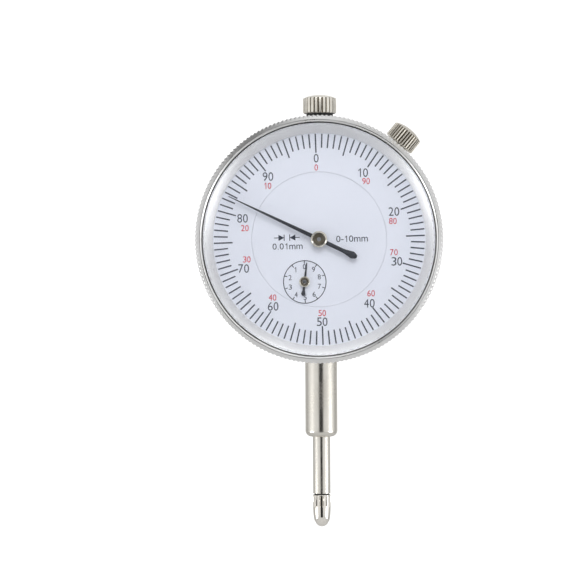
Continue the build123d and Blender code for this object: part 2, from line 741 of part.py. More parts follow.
def make_main_pointer():
    points = [
        (-0.52, 0),
        (-0.1, 24.5),
        (0.1, 24.5),
        (0.52, 0),
        (0.47, -6.3),
        (0.9, -9.1),
        (0, -10.2),
        (-0.9, -9.1),
        (-0.47, -6.3),
    ]
    return pointer(points, POINTER_ANGLE, POINTER_FRONT, POINTER_BACK, 0, 0, 1.9, 1.0)


def make_main_pointer_hub():
    """A bevelled cap in front of the pointer and a collar behind it, on the arbor's end."""
    hub_back = POINTER_BACK + 0.25
    hub_front = CENTRE_ARBOR_FRONT + 0.05
    return turned_y(
        [
            (PIVOT_R, hub_back),
            (1.4, hub_back),
            (1.4, POINTER_BACK),
            (1.0, POINTER_BACK),
            (1.0, POINTER_FRONT),
            (POINTER_HUB_R, POINTER_FRONT),
            (POINTER_HUB_R, POINTER_FRONT - 0.15),
            (POINTER_HUB_FACE_R, hub_front),
            (PIVOT_R, hub_front),
        ]
    )


def make_small_pointer():
    points = [
        (-0.3, 0),
        (-0.15, 4.7),
        (0.15, 4.7),
        (0.3, 0),
        (0.28, -1.6),
        (0.5, -2.9),
        (0, -3.5),
        (-0.5, -2.9),
        (-0.28, -1.6),
    ]
    return pointer(points, COUNTER_ANGLE, COUNTER_FRONT, COUNTER_BACK, COUNTER_X, COUNTER_Z, 1.2, 0.75)


def make_small_pointer_hub():
    hub = tube_y(0.75, PIVOT_R, COUNTER_FRONT, COUNTER_BACK + 0.15)
    hub += tube_y(COUNTER_HUB_R, PIVOT_R, COUNTER_FRONT - 0.25, COUNTER_FRONT)
    return Pos(COUNTER_X, 0, COUNTER_Z) * hub


PIECES = {
    "case_body": make_case_body,
    "stem": make_stem,
    "lower_bushing": make_lower_bushing,
    "upper_bushing": make_upper_bushing,
    "back_cover": make_back_cover,
    "back_cover_screws": make_back_cover_screws,
    "back_lug": make_back_lug,
    "lug_screws": make_lug_screws,
    "inner_dial": make_inner_dial,
    "main_plate": make_main_plate,
    "main_plate_screws": make_main_plate_screws,
    "bridge_plate": make_bridge_plate,
    "plate_pillars": make_plate_pillars,
    "bridge_screws": make_bridge_screws,
    "pillar_screws": make_pillar_screws,
    "arbor_bushes": make_arbor_bushes,
    "pinion_cock": make_pinion_cock,
    "cock_screws": lambda: [flush_screw(x, z) for x, z in COCK_SCREWS],
    "guide_rail": make_guide_rail,
    "guide_rail_screws": lambda: [flush_screw(x, z) for x, z in RAIL_SCREWS],
    "spring_post": make_spring_post,
    "return_spring": make_return_spring,
    "hairspring": make_hairspring,
    "hairspring_stud": make_hairspring_stud,
    "bezel_ring": make_bezel_ring,
    "crystal": make_crystal,
    "dial_flange_ring": make_dial_flange_ring,
    "outer_dial": make_outer_dial,
    "bezel_wire": make_bezel_wire,
    "clamp_pad": make_clamp_pad,
    "clamp_screw": make_clamp_screw,
    "spindle": make_spindle,
    "stop_cap": make_stop_cap,
    "guide_pin": make_guide_pin,
    "contact_holder": make_contact_holder,
    "contact_ball": make_contact_ball,
    "rack_pinion_arbor": make_rack_pinion_arbor,
    "transfer_gear": lambda: wheel(COUNTER_X, COUNTER_Z, LINE_ANGLE),
    "small_pointer": make_small_pointer,
    "small_pointer_hub": make_small_pointer_hub,
    "centre_arbor": make_centre_arbor,
    "main_pointer": make_main_pointer,
    "main_pointer_hub": make_main_pointer_hub,
    "takeup_arbor": make_takeup_arbor,
    "takeup_gear": lambda: wheel(TAKEUP_X, TAKEUP_Z, LINE_ANGLE),
    "hairspring_collet": make_hairspring_collet,
}

os.makedirs("parts", exist_ok=True)
for name, make in PIECES.items():
    made = make()
    solids = made if isinstance(made, list) else [made]
    lifted = [Pos(0, 0, DIAL_Z) * solid for solid in solids]
    piece = lifted[0] if len(lifted) == 1 else Compound(children=lifted)
    export_step(piece, f"parts/{name}.step")
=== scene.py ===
# %% [markdown]
# # A dial indicator, finished in Blender
# The instrument comes in as a fixed frame: every part at its place, in metres, with +Z up
# along the spindle and the dial facing -Y. This lesson keeps that frame, models the visible
# pieces again at the same size but with finer edges, knurls and printing, and gives every
# surface a procedural finish. Each step first says what the thing is on the real object.

# %% Load the frame
import bpy
import json
from math import atan2, cos, hypot, pi, radians, sin
from mathutils import Matrix, Vector


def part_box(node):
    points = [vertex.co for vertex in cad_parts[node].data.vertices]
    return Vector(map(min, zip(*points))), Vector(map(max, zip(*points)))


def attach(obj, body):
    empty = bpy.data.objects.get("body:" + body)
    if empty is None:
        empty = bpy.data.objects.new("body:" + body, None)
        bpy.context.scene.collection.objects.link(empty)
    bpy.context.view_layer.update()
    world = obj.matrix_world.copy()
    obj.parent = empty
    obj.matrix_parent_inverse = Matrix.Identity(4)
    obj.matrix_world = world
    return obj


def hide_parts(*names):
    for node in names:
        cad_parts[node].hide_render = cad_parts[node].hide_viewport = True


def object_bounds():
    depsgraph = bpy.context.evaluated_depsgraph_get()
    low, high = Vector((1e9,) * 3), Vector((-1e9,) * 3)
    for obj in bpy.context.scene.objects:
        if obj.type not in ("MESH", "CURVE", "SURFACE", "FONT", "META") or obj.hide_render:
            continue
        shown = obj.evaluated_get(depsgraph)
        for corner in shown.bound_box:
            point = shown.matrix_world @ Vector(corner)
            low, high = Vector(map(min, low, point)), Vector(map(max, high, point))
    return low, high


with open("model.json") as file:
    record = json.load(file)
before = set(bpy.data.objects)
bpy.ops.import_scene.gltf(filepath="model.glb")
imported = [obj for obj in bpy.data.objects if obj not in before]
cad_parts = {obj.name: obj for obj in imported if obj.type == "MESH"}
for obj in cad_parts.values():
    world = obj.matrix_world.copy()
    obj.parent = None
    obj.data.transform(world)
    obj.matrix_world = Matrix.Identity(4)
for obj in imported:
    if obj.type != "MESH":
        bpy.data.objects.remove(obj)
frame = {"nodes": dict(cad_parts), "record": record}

cad_low, cad_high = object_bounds()
print("height of the object, mm:", round((cad_high.z - cad_low.z) * 1000, 2))

# %% [markdown]
# Millimetres are easier to think in than metres on a small instrument, so one constant
# turns them into Blender's units. The dial's centre is read from the crystal's box, because
# the crystal is a disc about the dial's axis, and all places on the face are given from
# there.

# %% Units and the dial's centre
MM = 0.001


def middle_height(node):
    """How high the middle of a node's box lies, in millimetres."""
    low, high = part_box(node)
    return (low.z + high.z) / 2 / MM


DIAL_Z = middle_height("crystal")
DIAL_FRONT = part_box("outer_dial")[0].y / MM
print("dial centre height, mm:", round(DIAL_Z, 3), " printed face at y, mm:", round(DIAL_FRONT, 3))

# %% [markdown]
# The viewer stands in front of the dial, about 0.6 m away, a little lower than its centre
# and two degrees to its right, which shows in how the stem stands beside the dial's middle.
# A long lens gives the flat look of a product picture. The instrument leans a third of a
# degree to the left, so the camera is rolled by that much instead, because the frame itself
# never moves.

# %% Camera
CAMERA_AWAY = 0.600
CAMERA_LENS = 150.75
LEAN = radians(0.33)
FROM_THE_RIGHT = radians(2.4)
DIAL_RIGHT_OF_VIEW = 7.63
DIAL_ABOVE_VIEW = 11.89

aside = DIAL_RIGHT_OF_VIEW * cos(LEAN) + DIAL_ABOVE_VIEW * sin(LEAN)
below = DIAL_ABOVE_VIEW * cos(LEAN) - DIAL_RIGHT_OF_VIEW * sin(LEAN)
face_centre = Vector((0, DIAL_FRONT * MM, DIAL_Z * MM))
from_face = Vector((-aside * MM, -CAMERA_AWAY - DIAL_FRONT * MM, -below * MM))
orbit = Matrix.Rotation(FROM_THE_RIGHT, 4, "Z")
upright = Matrix.Rotation(LEAN, 4, "Y") @ Matrix.Rotation(radians(90), 4, "X")
straight = Matrix.Translation(from_face) @ upright
bpy.ops.object.camera_add()
camera = bpy.context.object
camera.name = "view_camera"
camera.matrix_world = Matrix.Translation(face_centre) @ orbit @ straight
camera.data.lens = CAMERA_LENS
camera.data.clip_start = 0.01
bpy.context.scene.camera = camera
print("camera at", [round(v, 4) for v in camera.location])

# %% [markdown]
# Bright metal shows its surroundings, so the surroundings are made first. Product pictures
# of such tools are taken in a white tent: bright panels left and right, a narrow dark gap
# where the lens looks in, and duller cloth below and past the sides. The world shader paints that
# tent for reflections and light, by compass direction and height, and shows plain white
# where the viewer looks past the object.

# %% The light tent
OPENING_FADE = 2.5
BACKDROP = 1.2
scene = bpy.context.scene
scene.view_settings.view_transform = "Standard"
world = bpy.data.worlds.new("light_tent")
scene.world = world
world.use_nodes = True
nodes = world.node_tree.nodes
links = world.node_tree.links
nodes.clear()


def add_node(tree, kind, label="", **settings):
    """A shader node with its settings, ready to be linked."""
    node = tree.nodes.new(kind)
    node.label = label
    for key, value in settings.items():
        setattr(node, key, value)
    return node


def math_node(tree, operation, first, second=None):
    """A Math node on one or two sockets or numbers; returns its result socket."""
    node = tree.nodes.new("ShaderNodeMath")
    node.operation = operation
    for index, source in enumerate((first, second)):
        if source is None:
            continue
        if isinstance(source, (int, float)):
            node.inputs[index].default_value = source
        else:
            tree.links.new(source, node.inputs[index])
    return node.outputs[0]


def ramp_node(tree, source, stops, interpolation="EASE"):
    """A colour ramp with (position, grey level or colour) stops."""
    node = tree.nodes.new("ShaderNodeValToRGB")
    node.color_ramp.interpolation = interpolation
    elements = node.color_ramp.elements
    while len(elements) < len(stops):
        elements.new(0.5)
    for element, (position, level) in zip(elements, stops):
        element.position = position
        element.color = (*level, 1) if isinstance(level, tuple) else (level, level, level, 1)
    tree.links.new(source, node.inputs[0])
    return node.outputs[0]


tent = world.node_tree
direction = add_node(tent, "ShaderNodeTexCoord").outputs["Generated"]
split = add_node(tent, "ShaderNodeSeparateXYZ")
links.new(direction, split.inputs[0])
towards_viewer = math_node(tent, "MULTIPLY", split.outputs["Y"], -1.0)
compass = math_node(tent, "ARCTAN2", split.outputs["X"], towards_viewer)
# 0 towards the viewer, 0.5 at the sides, 1 straight behind the object
aside_share = math_node(tent, "DIVIDE", math_node(tent, "ABSOLUTE", compass), pi)
panels = ramp_node(
    tent,
    aside_share,
    [
        (0.0, 0.01), (0.066, 0.03), (0.100, 0.72), (0.20, 0.78), (0.36, 0.95), (0.50, 0.80),
        (0.66, 0.45), (1.0, 0.85),
    ],
)
# 0 straight down, 0.5 level, 1 straight up
upward = math_node(tent, "MULTIPLY", math_node(tent, "ADD", split.outputs["Z"], 1.0), 0.5)
cloth = ramp_node(tent, upward, [(0.0, 0.30), (0.28, 0.70), (0.42, 1.0), (1.0, 1.0)])
# round the dial: 0 and 1 straight down, 0.25 left, 0.5 straight up, 0.75 right
clock = math_node(tent, "ARCTAN2", split.outputs["X"], split.outputs["Z"])
clock_share = math_node(tent, "ADD", math_node(tent, "DIVIDE", clock, 2 * pi), 0.5)
openings = ramp_node(
    tent,
    clock_share,
    [
        (0.0, 0.12), (0.03, 0.15), (0.07, 1.0), (0.345, 1.0), (0.375, 0.10), (0.430, 0.10),
        (0.465, 1.0), (0.885, 1.0), (0.925, 0.12),
    ],
)
level_share = math_node(tent, "MULTIPLY", split.outputs["Y"], split.outputs["Y"])
fades = math_node(tent, "MULTIPLY", level_share, OPENING_FADE)
edgewise = math_node(tent, "MAXIMUM", math_node(tent, "SUBTRACT", 1.0, fades), 0.0)
cloth_light = add_node(tent, "ShaderNodeMix", data_type="RGBA", blend_type="MULTIPLY")
cloth_light.inputs["Factor"].default_value = 1.0
links.new(panels, cloth_light.inputs["A"])
links.new(cloth, cloth_light.inputs["B"])
painted = add_node(tent, "ShaderNodeMix", data_type="RGBA", blend_type="MULTIPLY")
links.new(edgewise, painted.inputs["Factor"])
links.new(cloth_light.outputs["Result"], painted.inputs["A"])
links.new(openings, painted.inputs["B"])
tent_light = add_node(tent, "ShaderNodeBackground", "tent")
tent_light.inputs["Strength"].default_value = 1.0
links.new(painted.outputs["Result"], tent_light.inputs["Color"])
plain_white = add_node(tent, "ShaderNodeBackground", "past the object")
plain_white.inputs["Color"].default_value = (1, 1, 1, 1)
plain_white.inputs["Strength"].default_value = BACKDROP
seen_by = add_node(tent, "ShaderNodeLightPath")
either = add_node(tent, "ShaderNodeMixShader")
links.new(seen_by.outputs["Is Camera Ray"], either.inputs["Fac"])
links.new(tent_light.outputs[0], either.inputs[1])
links.new(plain_white.outputs[0], either.inputs[2])
world_out = add_node(tent, "ShaderNodeOutputWorld")
links.new(either.outputs[0], world_out.inputs["Surface"])
print("tent nodes:", len(nodes))

# %% [markdown]
# Two soft panels low at the left and right, and a third in front and overhead, lift the
# dial above what the tent's cloth gives. In use the instrument hangs in a clamp by its stem,
# so the pale floor lies well below the measuring tip.

# %% Panels and floor
PANEL_SIDE = 0.35
FLOOR_GAP = 160
FLOOR_SIDE = 0.8


def soft_panel(name, where, watts):
    """A square area lamp that faces the dial."""
    aim = Vector((0, 0, DIAL_Z * MM)) - Vector(where)
    turn = aim.to_track_quat("-Z", "Y").to_euler()
    bpy.ops.object.light_add(type="AREA", location=where, rotation=turn)
    lamp = bpy.context.object
    lamp.name = name
    lamp.data.energy = watts
    lamp.data.size = PANEL_SIDE


soft_panel("panel_left", (-0.60, -0.20, -0.28), 1.3)
soft_panel("panel_right", (0.60, -0.20, -0.24), 1.1)
soft_panel("panel_front", (0.0, -0.45, 0.45), 1.25)
bpy.ops.mesh.primitive_plane_add(size=FLOOR_SIDE, location=(0, 0, cad_low.z - FLOOR_GAP * MM))
floor = bpy.context.object
floor.name = "floor"

# %% [markdown]
# ## Finishes
# The same three effects turn up on nearly every metal here: the fine rings that a lathe
# tool leaves, thin random scratches from handling, and broad soft patches where the plating
# is a little duller. Each is built once as a node group with its own inputs, and every
# material places them with its own values. Lengths inside the groups are in millimetres.

# %% Group helper
MILLIMETRES_IN_A_METRE = 1000.0


def new_group(name, inputs, outputs):
    """A shader node group with float inputs (name: default) and float outputs."""
    tree = bpy.data.node_groups.new(name, "ShaderNodeTree")
    for label, default in inputs.items():
        socket = tree.interface.new_socket(name=label, in_out="INPUT", socket_type="NodeSocketFloat")
        socket.default_value = default
    for label in outputs:
        tree.interface.new_socket(name=label, in_out="OUTPUT", socket_type="NodeSocketFloat")
    entry = tree.nodes.new("NodeGroupInput").outputs
    leave = tree.nodes.new("NodeGroupOutput").inputs
    return tree, entry, leave


def object_millimetres(tree):
    """The place on the object in millimetres, as a vector socket."""
    place = add_node(tree, "ShaderNodeTexCoord").outputs["Object"]
    scaled = add_node(tree, "ShaderNodeVectorMath", operation="SCALE")
    scaled.inputs["Scale"].default_value = MILLIMETRES_IN_A_METRE
    tree.links.new(place, scaled.inputs[0])
    return scaled.outputs[0]


def noise_node(tree, vector, scale, detail=2.0, roughness=0.5):
    """A noise texture's grey value."""
    noise = add_node(tree, "ShaderNodeTexNoise")
    noise.inputs["Detail"].default_value = detail
    noise.inputs["Roughness"].default_value = roughness
    if isinstance(scale, (int, float)):
        noise.inputs["Scale"].default_value = scale
    else:
        tree.links.new(scale, noise.inputs["Scale"])
    tree.links.new(vector, noise.inputs["Vector"])
    return noise.outputs["Fac"]


# %% [markdown]
# **Turning lines.** A lathe leaves rings, so the pattern must depend on one distance only:
# the radius on a faced surface such as the bezel's lip, or the height on a turned rod such
# as the stem. A noise texture in one dimension, fed with that distance, gives rings of
# uneven depth, which look more like tool marks than a regular wave does.

# %% Turning lines
def make_turning_lines(name, faced):
    """Rings about the dial's axis if faced, else rings about the spindle's axis."""
    tree, entry, leave = new_group(name, {"Lines per mm": 8.0}, ["Height"])
    parts = add_node(tree, "ShaderNodeSeparateXYZ")
    tree.links.new(object_millimetres(tree), parts.inputs[0])
    if faced:
        up = math_node(tree, "SUBTRACT", parts.outputs["Z"], DIAL_Z)
        across = math_node(tree, "POWER", parts.outputs["X"], 2.0)
        squared = math_node(tree, "ADD", across, math_node(tree, "POWER", up, 2.0))
        distance = math_node(tree, "ADD", math_node(tree, "SQRT", squared), parts.outputs["Y"])
    else:
        distance = parts.outputs["Z"]
    lines = add_node(tree, "ShaderNodeTexNoise", noise_dimensions="1D")
    lines.inputs["Detail"].default_value = 1.0
    tree.links.new(distance, lines.inputs["W"])
    tree.links.new(entry["Lines per mm"], lines.inputs["Scale"])
    tree.links.new(lines.outputs["Fac"], leave["Height"])
    return tree


faced_lines = make_turning_lines("Faced Turning Lines", True)
rod_lines = make_turning_lines("Rod Turning Lines", False)
print("groups:", faced_lines.name, "and", rod_lines.name)

# %% [markdown]
# **Handling marks.** Hair-thin scratches are a noise stretched until it becomes streaks and
# cut off near its top, so that only a few show. Two sets cross at different angles. The dull
# patches are the same noise, left broad. Both only nudge the roughness and the colour.

# %% Scratches and patches
def streaks(tree, place, turned_by, density):
    """Thin random streaks, 0 almost everywhere and 1 on a scratch."""
    mapping = add_node(tree, "ShaderNodeMapping")
    mapping.inputs["Rotation"].default_value = (0.4, turned_by, 0.2)
    mapping.inputs["Scale"].default_value = (0.12, 1.0, 4.0)
    tree.links.new(place, mapping.inputs["Vector"])
    grey = noise_node(tree, mapping.outputs[0], density, 3.0, 0.6)
    return ramp_node(tree, grey, [(0.0, 0.0), (0.66, 0.0), (0.70, 1.0), (1.0, 1.0)], "LINEAR")


scratch_tree, scratch_in, scratch_out = new_group("Handling Scratches", {"Density": 1.2}, ["Mask"])
metal_place = object_millimetres(scratch_tree)
one_way = streaks(scratch_tree, metal_place, 0.5, scratch_in["Density"])
other_way = streaks(scratch_tree, metal_place, 2.1, scratch_in["Density"])
either_way = math_node(scratch_tree, "MAXIMUM", one_way, other_way)
scratch_tree.links.new(either_way, scratch_out["Mask"])

patch_tree, patch_in, patch_out = new_group("Dull Patches", {"Per mm": 0.15}, ["Mask"])
broad = noise_node(patch_tree, object_millimetres(patch_tree), patch_in["Per mm"], 4.0, 0.55)
patchy = ramp_node(patch_tree, broad, [(0.30, 0.0), (0.72, 1.0)])
patch_tree.links.new(patchy, patch_out["Mask"])
print("groups so far:", len(bpy.data.node_groups))

# %% [markdown]
# A metal finish is one function: a Principled shader that is fully metallic, a base colour
# that darkens slightly in the dull patches, a roughness that rises there and on scratches,
# and a bump from the turning lines. What differs from metal to metal is handed in.

# %% Metal finish
def use_group(tree, group, **values):
    """Place a node group in a material, with its inputs set."""
    node = add_node(tree, "ShaderNodeGroup", node_tree=group)
    for label, value in values.items():
        node.inputs[label.replace("_", " ")].default_value = value
    return node


def mixed(tree, share, low, high):
    """A colour between two colours, by a share socket."""
    mix = add_node(tree, "ShaderNodeMix", data_type="RGBA")
    mix.inputs["A"].default_value = (*low, 1)
    mix.inputs["B"].default_value = (*high, 1)
    tree.links.new(share, mix.inputs["Factor"])
    return mix.outputs["Result"]


def new_material(name):
    """A node material: its tree and its Principled shader."""
    material = bpy.data.materials.new(name)
    material.use_nodes = True
    tree = material.node_tree
    return material, tree, tree.nodes["Principled BSDF"]


def bump_from(tree, shader, source, depth_mm, strength=1.0):
    """Raise the surface by a grey socket, at most depth_mm high."""
    bump = add_node(tree, "ShaderNodeBump")
    bump.inputs["Strength"].default_value = strength
    bump.inputs["Distance"].default_value = depth_mm * MM
    tree.links.new(source, bump.inputs["Height"])
    tree.links.new(bump.outputs[0], shader.inputs["Normal"])


def metal_finish(
    name, colour, dull, rough, lines=None, lines_per_mm=8.0, depth=0.002, patches=0.15, scratches=0.8
):
    """A worn metal: bright and dull colours, (least, most) roughness and optional tool lines."""
    material, tree, shader = new_material(name)
    shader.inputs["Metallic"].default_value = 1.0
    patch = use_group(tree, patch_tree, Per_mm=patches).outputs["Mask"]
    scratch = use_group(tree, scratch_tree).outputs["Mask"]
    tree.links.new(mixed(tree, patch, colour, dull), shader.inputs["Base Color"])
    worn = math_node(tree, "MAXIMUM", patch, math_node(tree, "MULTIPLY", scratch, scratches))
    spread = math_node(tree, "MULTIPLY", worn, rough[1] - rough[0])
    if lines:
        height = use_group(tree, lines, Lines_per_mm=lines_per_mm).outputs["Height"]
        bump_from(tree, shader, height, depth)
        grain = math_node(tree, "MULTIPLY", height, (rough[1] - rough[0]) * 0.5)
        spread = math_node(tree, "ADD", spread, grain)
    tree.links.new(math_node(tree, "ADD", spread, rough[0]), shader.inputs["Roughness"])
    return material


# bright colour, dull colour, (least, most) roughness, and then tool lines, lines per mm,
# depth of the lines in mm, dull patches per mm and strength of the scratches
METALS = {
    "satin_nickel": ((0.84, 0.81, 0.75), (0.76, 0.73, 0.66), (0.15, 0.27), rod_lines, 14.0, 0.0012),
    "knurl_nickel": ((0.90, 0.87, 0.80), (0.76, 0.72, 0.64), (0.32, 0.46)),
    "bright_chrome": ((0.95, 0.95, 0.94), (0.89, 0.89, 0.89), (0.22, 0.36), faced_lines, 10.0, 0.001),
    "case_metal": ((0.78, 0.78, 0.79), (0.73, 0.73, 0.74), (0.26, 0.38), faced_lines, 6.0, 0.003),
    "flange_metal": (
        (0.96, 0.95, 0.93), (0.92, 0.91, 0.89), (0.34, 0.44), faced_lines, 8.0, 0.002, 0.15, 0.0
    ),
    # the hub's face: a dark colour as painted dark reflection; its bevel: a lighter copy of the same
    # metal as painted highlight
    "hub_bronze": ((0.27, 0.235, 0.18), (0.17, 0.15, 0.12), (0.22, 0.44), faced_lines, 12.0, 0.002, 0.6),
    "hub_bevel_highlight": ((0.93, 0.88, 0.76), (0.80, 0.74, 0.62), (0.12, 0.26), None, 8.0, 0.002, 0.6),
    "polished_tip": ((0.94, 0.91, 0.85), (0.86, 0.82, 0.75), (0.04, 0.12)),
    # painted shade for the faces down in the knurls' flutes
    "flute_shade": ((0.32, 0.28, 0.22), (0.16, 0.14, 0.105), (0.30, 0.55), None, 8.0, 0.002, 0.8),
    "brass": ((0.83, 0.64, 0.30), (0.62, 0.46, 0.22), (0.20, 0.42), faced_lines, 6.0, 0.002),
    "tool_steel": ((0.60, 0.60, 0.61), (0.44, 0.44, 0.46), (0.18, 0.36), rod_lines),
    "spring_steel": ((0.30, 0.33, 0.42), (0.20, 0.21, 0.28), (0.24, 0.44)),
    "screw_steel": ((0.68, 0.66, 0.63), (0.50, 0.48, 0.45), (0.20, 0.42), faced_lines),
}
finishes = {name: metal_finish(name, *values) for name, values in METALS.items()}
print("metals:", ", ".join(finishes))

# %% [markdown]
# **Dial paint** is a matt white lacquer with a breath of blue, slightly uneven from the
# spray gun. **Printing ink** lies on top of it a few hundredths of a millimetre thick, a
# little glossier than the paint, and never quite even. **Pointer paint** is a satin black
# over thin sheet, and looks grey where it catches light.

# %% Paints and inks
def paint_finish(name, colour, shade, rough, grain_per_mm, depth, patches=0.08):
    """A coat of paint: two close tones, a grainy skin and an uneven gloss."""
    material, tree, shader = new_material(name)
    patch = use_group(tree, patch_tree, Per_mm=patches).outputs["Mask"]
    grain = noise_node(tree, object_millimetres(tree), grain_per_mm, 3.0, 0.6)
    tree.links.new(mixed(tree, patch, colour, shade), shader.inputs["Base Color"])
    gloss = math_node(tree, "MULTIPLY", grain, rough[1] - rough[0])
    tree.links.new(math_node(tree, "ADD", gloss, rough[0]), shader.inputs["Roughness"])
    bump_from(tree, shader, grain, depth)
    return material


# colour, shade, (least, most) roughness, grain per mm and depth of the grain in mm
PAINTS = {
    "dial_white": ((0.845, 0.860, 0.925), (0.825, 0.840, 0.905), (0.42, 0.60), 9.0, 0.002),
    "pointer_black": ((0.030, 0.032, 0.040), (0.045, 0.047, 0.055), (0.30, 0.50), 12.0, 0.003),
    "ink_black": ((0.030, 0.034, 0.050), (0.050, 0.054, 0.075), (0.35, 0.55), 14.0, 0.002),
    "ink_grey": ((0.075, 0.080, 0.100), (0.105, 0.110, 0.135), (0.35, 0.55), 14.0, 0.002),
    "ink_red": ((0.62, 0.035, 0.060), (0.70, 0.065, 0.090), (0.35, 0.55), 14.0, 0.002),
    # black for blackened steel, also laid on as painted shade in the bezel's groove, under the cap and
    # in the tip's seam
    "black_steel_and_painted_shade": ((0.012, 0.011, 0.010), (0.020, 0.018, 0.016), (0.35, 0.6), 6.0, 0.004),
}
paints = {name: paint_finish(name, *values) for name, values in PAINTS.items()}
finishes.update(paints)
# the record's blackened steel takes the same black that serves as painted shade
finishes["blackened_steel"] = paints["black_steel_and_painted_shade"]
print("paints:", ", ".join(paints))

# %% [markdown]
# **The crystal** is a clear moulded lens. Glass in a path tracer would cast a dark shadow on
# the dial, because light is only followed back through clear surfaces by luck, so for
# shadow rays it is mixed with a plain transparent shader. Faint smears in the roughness keep
# it from looking like an empty hole.

# %% Crystal and floor
glass, glass_tree, glass_shader = new_material("clear_crystal")
glass_shader.inputs["Base Color"].default_value = (0.96, 0.975, 1.0, 1)
glass_shader.inputs["Transmission Weight"].default_value = 1.0
glass_shader.inputs["IOR"].default_value = 1.49
smear = use_group(glass_tree, patch_tree, Per_mm=0.12).outputs["Mask"]
glass_tree.links.new(math_node(glass_tree, "MULTIPLY", smear, 0.012), glass_shader.inputs["Roughness"])
see_through = add_node(glass_tree, "ShaderNodeBsdfTransparent")
for_shadows = add_node(glass_tree, "ShaderNodeMixShader")
ray_kind = add_node(glass_tree, "ShaderNodeLightPath")
glass_out = glass_tree.nodes["Material Output"]
glass_tree.links.new(ray_kind.outputs["Is Shadow Ray"], for_shadows.inputs["Fac"])
glass_tree.links.new(glass_shader.outputs[0], for_shadows.inputs[1])
glass_tree.links.new(see_through.outputs[0], for_shadows.inputs[2])
glass_tree.links.new(for_shadows.outputs[0], glass_out.inputs["Surface"])
finishes["clear_crystal"] = glass

floor_paint = paint_finish(
    "floor_paint", (0.80, 0.80, 0.80), (0.77, 0.77, 0.77), (0.6, 0.8), 0.05, 0.01, 0.004
)
floor.data.materials.append(floor_paint)

# %% [markdown]
# Every carried-over part takes the finish that its material slot in the record names. The
# pieces modelled again below take the same finishes, so that inside and outside agree.

# %% Dress the frame's own parts
slot_of = {part["node"]: part["material_slot"] for part in frame["record"]["subparts"]}
for node_name, node_object in frame["nodes"].items():
    finish = finishes[slot_of[node_name]]
    for material_slot in node_object.material_slots:
        material_slot.material = finish
print("parts dressed:", len(frame["nodes"]))

# %% [markdown]
# ## Modelling helpers
# Every piece here is either turned on a lathe, cut from sheet, or printed. A turned piece
# is one outline swept about an axis: a single vertex is extruded from corner to corner, and
# the Spin operator carries the outline round. Pieces are drawn in millimetres about the
# dial's centre and moved to their place at the end, so that every number can be read
# straight off the real thing.

# %% Helpers for edit mode
def start_clean():
    """Leave edit mode and deselect everything."""
    if bpy.context.object and bpy.context.object.mode != "OBJECT":
        bpy.ops.object.mode_set(mode="OBJECT")
    bpy.ops.object.select_all(action="DESELECT")


def take(obj):
    """Select one piece and nothing else."""
    start_clean()
    obj.select_set(True)
    bpy.context.view_layer.objects.active = obj


def edit(kind="VERT", action="DESELECT"):
    """Enter edit mode with nothing selected, or with everything if the action is SELECT."""
    bpy.ops.object.mode_set(mode="EDIT")
    bpy.ops.mesh.select_mode(type=kind)
    bpy.ops.mesh.select_all(action=action)


def pick(obj, kind, test):
    """Select what passes a test: verts and edges by their places, faces by place and normal."""
    bpy.ops.mesh.select_mode(type=kind)
    bpy.ops.mesh.select_all(action="DESELECT")
    bpy.ops.object.mode_set(mode="OBJECT")
    mesh = obj.data
    if kind == "VERT":
        for vertex in mesh.vertices:
            vertex.select = test(vertex.co)
    elif kind == "EDGE":
        for line in mesh.edges:
            ends = [mesh.vertices[i].co for i in line.vertices]
            line.select = test(*ends)
    else:
        for face in mesh.polygons:
            face.select = test(face.center, face.normal)
    bpy.ops.object.mode_set(mode="EDIT")


def first_point(name, where):
    """A new piece, in edit mode, that is a single selected vertex: a plane merged to a point."""
    start_clean()
    bpy.ops.mesh.primitive_plane_add(size=1)
    obj = bpy.context.object
    obj.name = name
    edit(action="SELECT")
    bpy.ops.mesh.merge(type="CENTER")
    bpy.ops.transform.translate(value=where)
    return obj


def turned(name, outline, steps, axis, closed=True):
    """A piece turned from its outline: (radius, along) points, the axis Y or Z."""
    corners = [Vector((r, a, 0)) if axis == "Y" else Vector((r, 0, a)) for r, a in outline]
    if closed:
        corners.append(corners[0])
    obj = first_point(name, corners[0])
    for here, there in zip(corners, corners[1:]):
        bpy.ops.mesh.extrude_region_move(TRANSFORM_OT_translate={"value": there - here})
    bpy.ops.mesh.select_all(action="SELECT")
    about = (0, 1, 0) if axis == "Y" else (0, 0, 1)
    bpy.ops.mesh.spin(steps=steps, angle=2 * pi, center=(0, 0, 0), axis=about)
    bpy.ops.mesh.select_all(action="SELECT")
    bpy.ops.mesh.remove_doubles(threshold=1e-4)
    bpy.ops.mesh.normals_make_consistent(inside=False)
    bpy.ops.object.mode_set(mode="OBJECT")
    return obj


# %% Helpers that finish a piece
EDGE_ROUND = 0.04


def soften(obj, limit):
    """Break the edges sharper than a limit, in degrees, with a small round."""
    bevel = obj.modifiers.new("edges", "BEVEL")
    bevel.width = EDGE_ROUND
    bevel.segments = 2
    bevel.limit_method = "ANGLE"
    bevel.angle_limit = radians(limit)
    bpy.context.view_layer.objects.active = obj
    bpy.ops.object.modifier_apply(modifier=bevel.name)


def smooth(obj, angle=35):
    """Shade the gentle edges smooth and keep the sharp ones."""
    take(obj)
    bpy.ops.object.shade_smooth_by_angle(angle=radians(angle))


def place(obj):
    """Take a piece drawn in millimetres about the dial's centre to its place, in its mesh."""
    take(obj)
    bpy.ops.object.transform_apply(location=True, rotation=True, scale=True)
    obj.scale = (MM, MM, MM)
    obj.location = (0, 0, DIAL_Z * MM)
    bpy.ops.object.transform_apply(location=True, rotation=True, scale=True)


def finish_piece(obj, body, finish, *nodes):
    """Give a piece its material, the body that it rides on and the nodes it stands for."""
    obj.data.materials.clear()
    obj.data.materials.append(finish)
    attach(obj, body)
    if nodes:
        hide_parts(*nodes)
    print(obj.name, "faces:", len(obj.data.polygons))


def faces_where(obj, test):
    """The numbers of the faces that pass a test on their centre and normal."""
    return [face.index for face in obj.data.polygons if test(face.center, face.normal)]


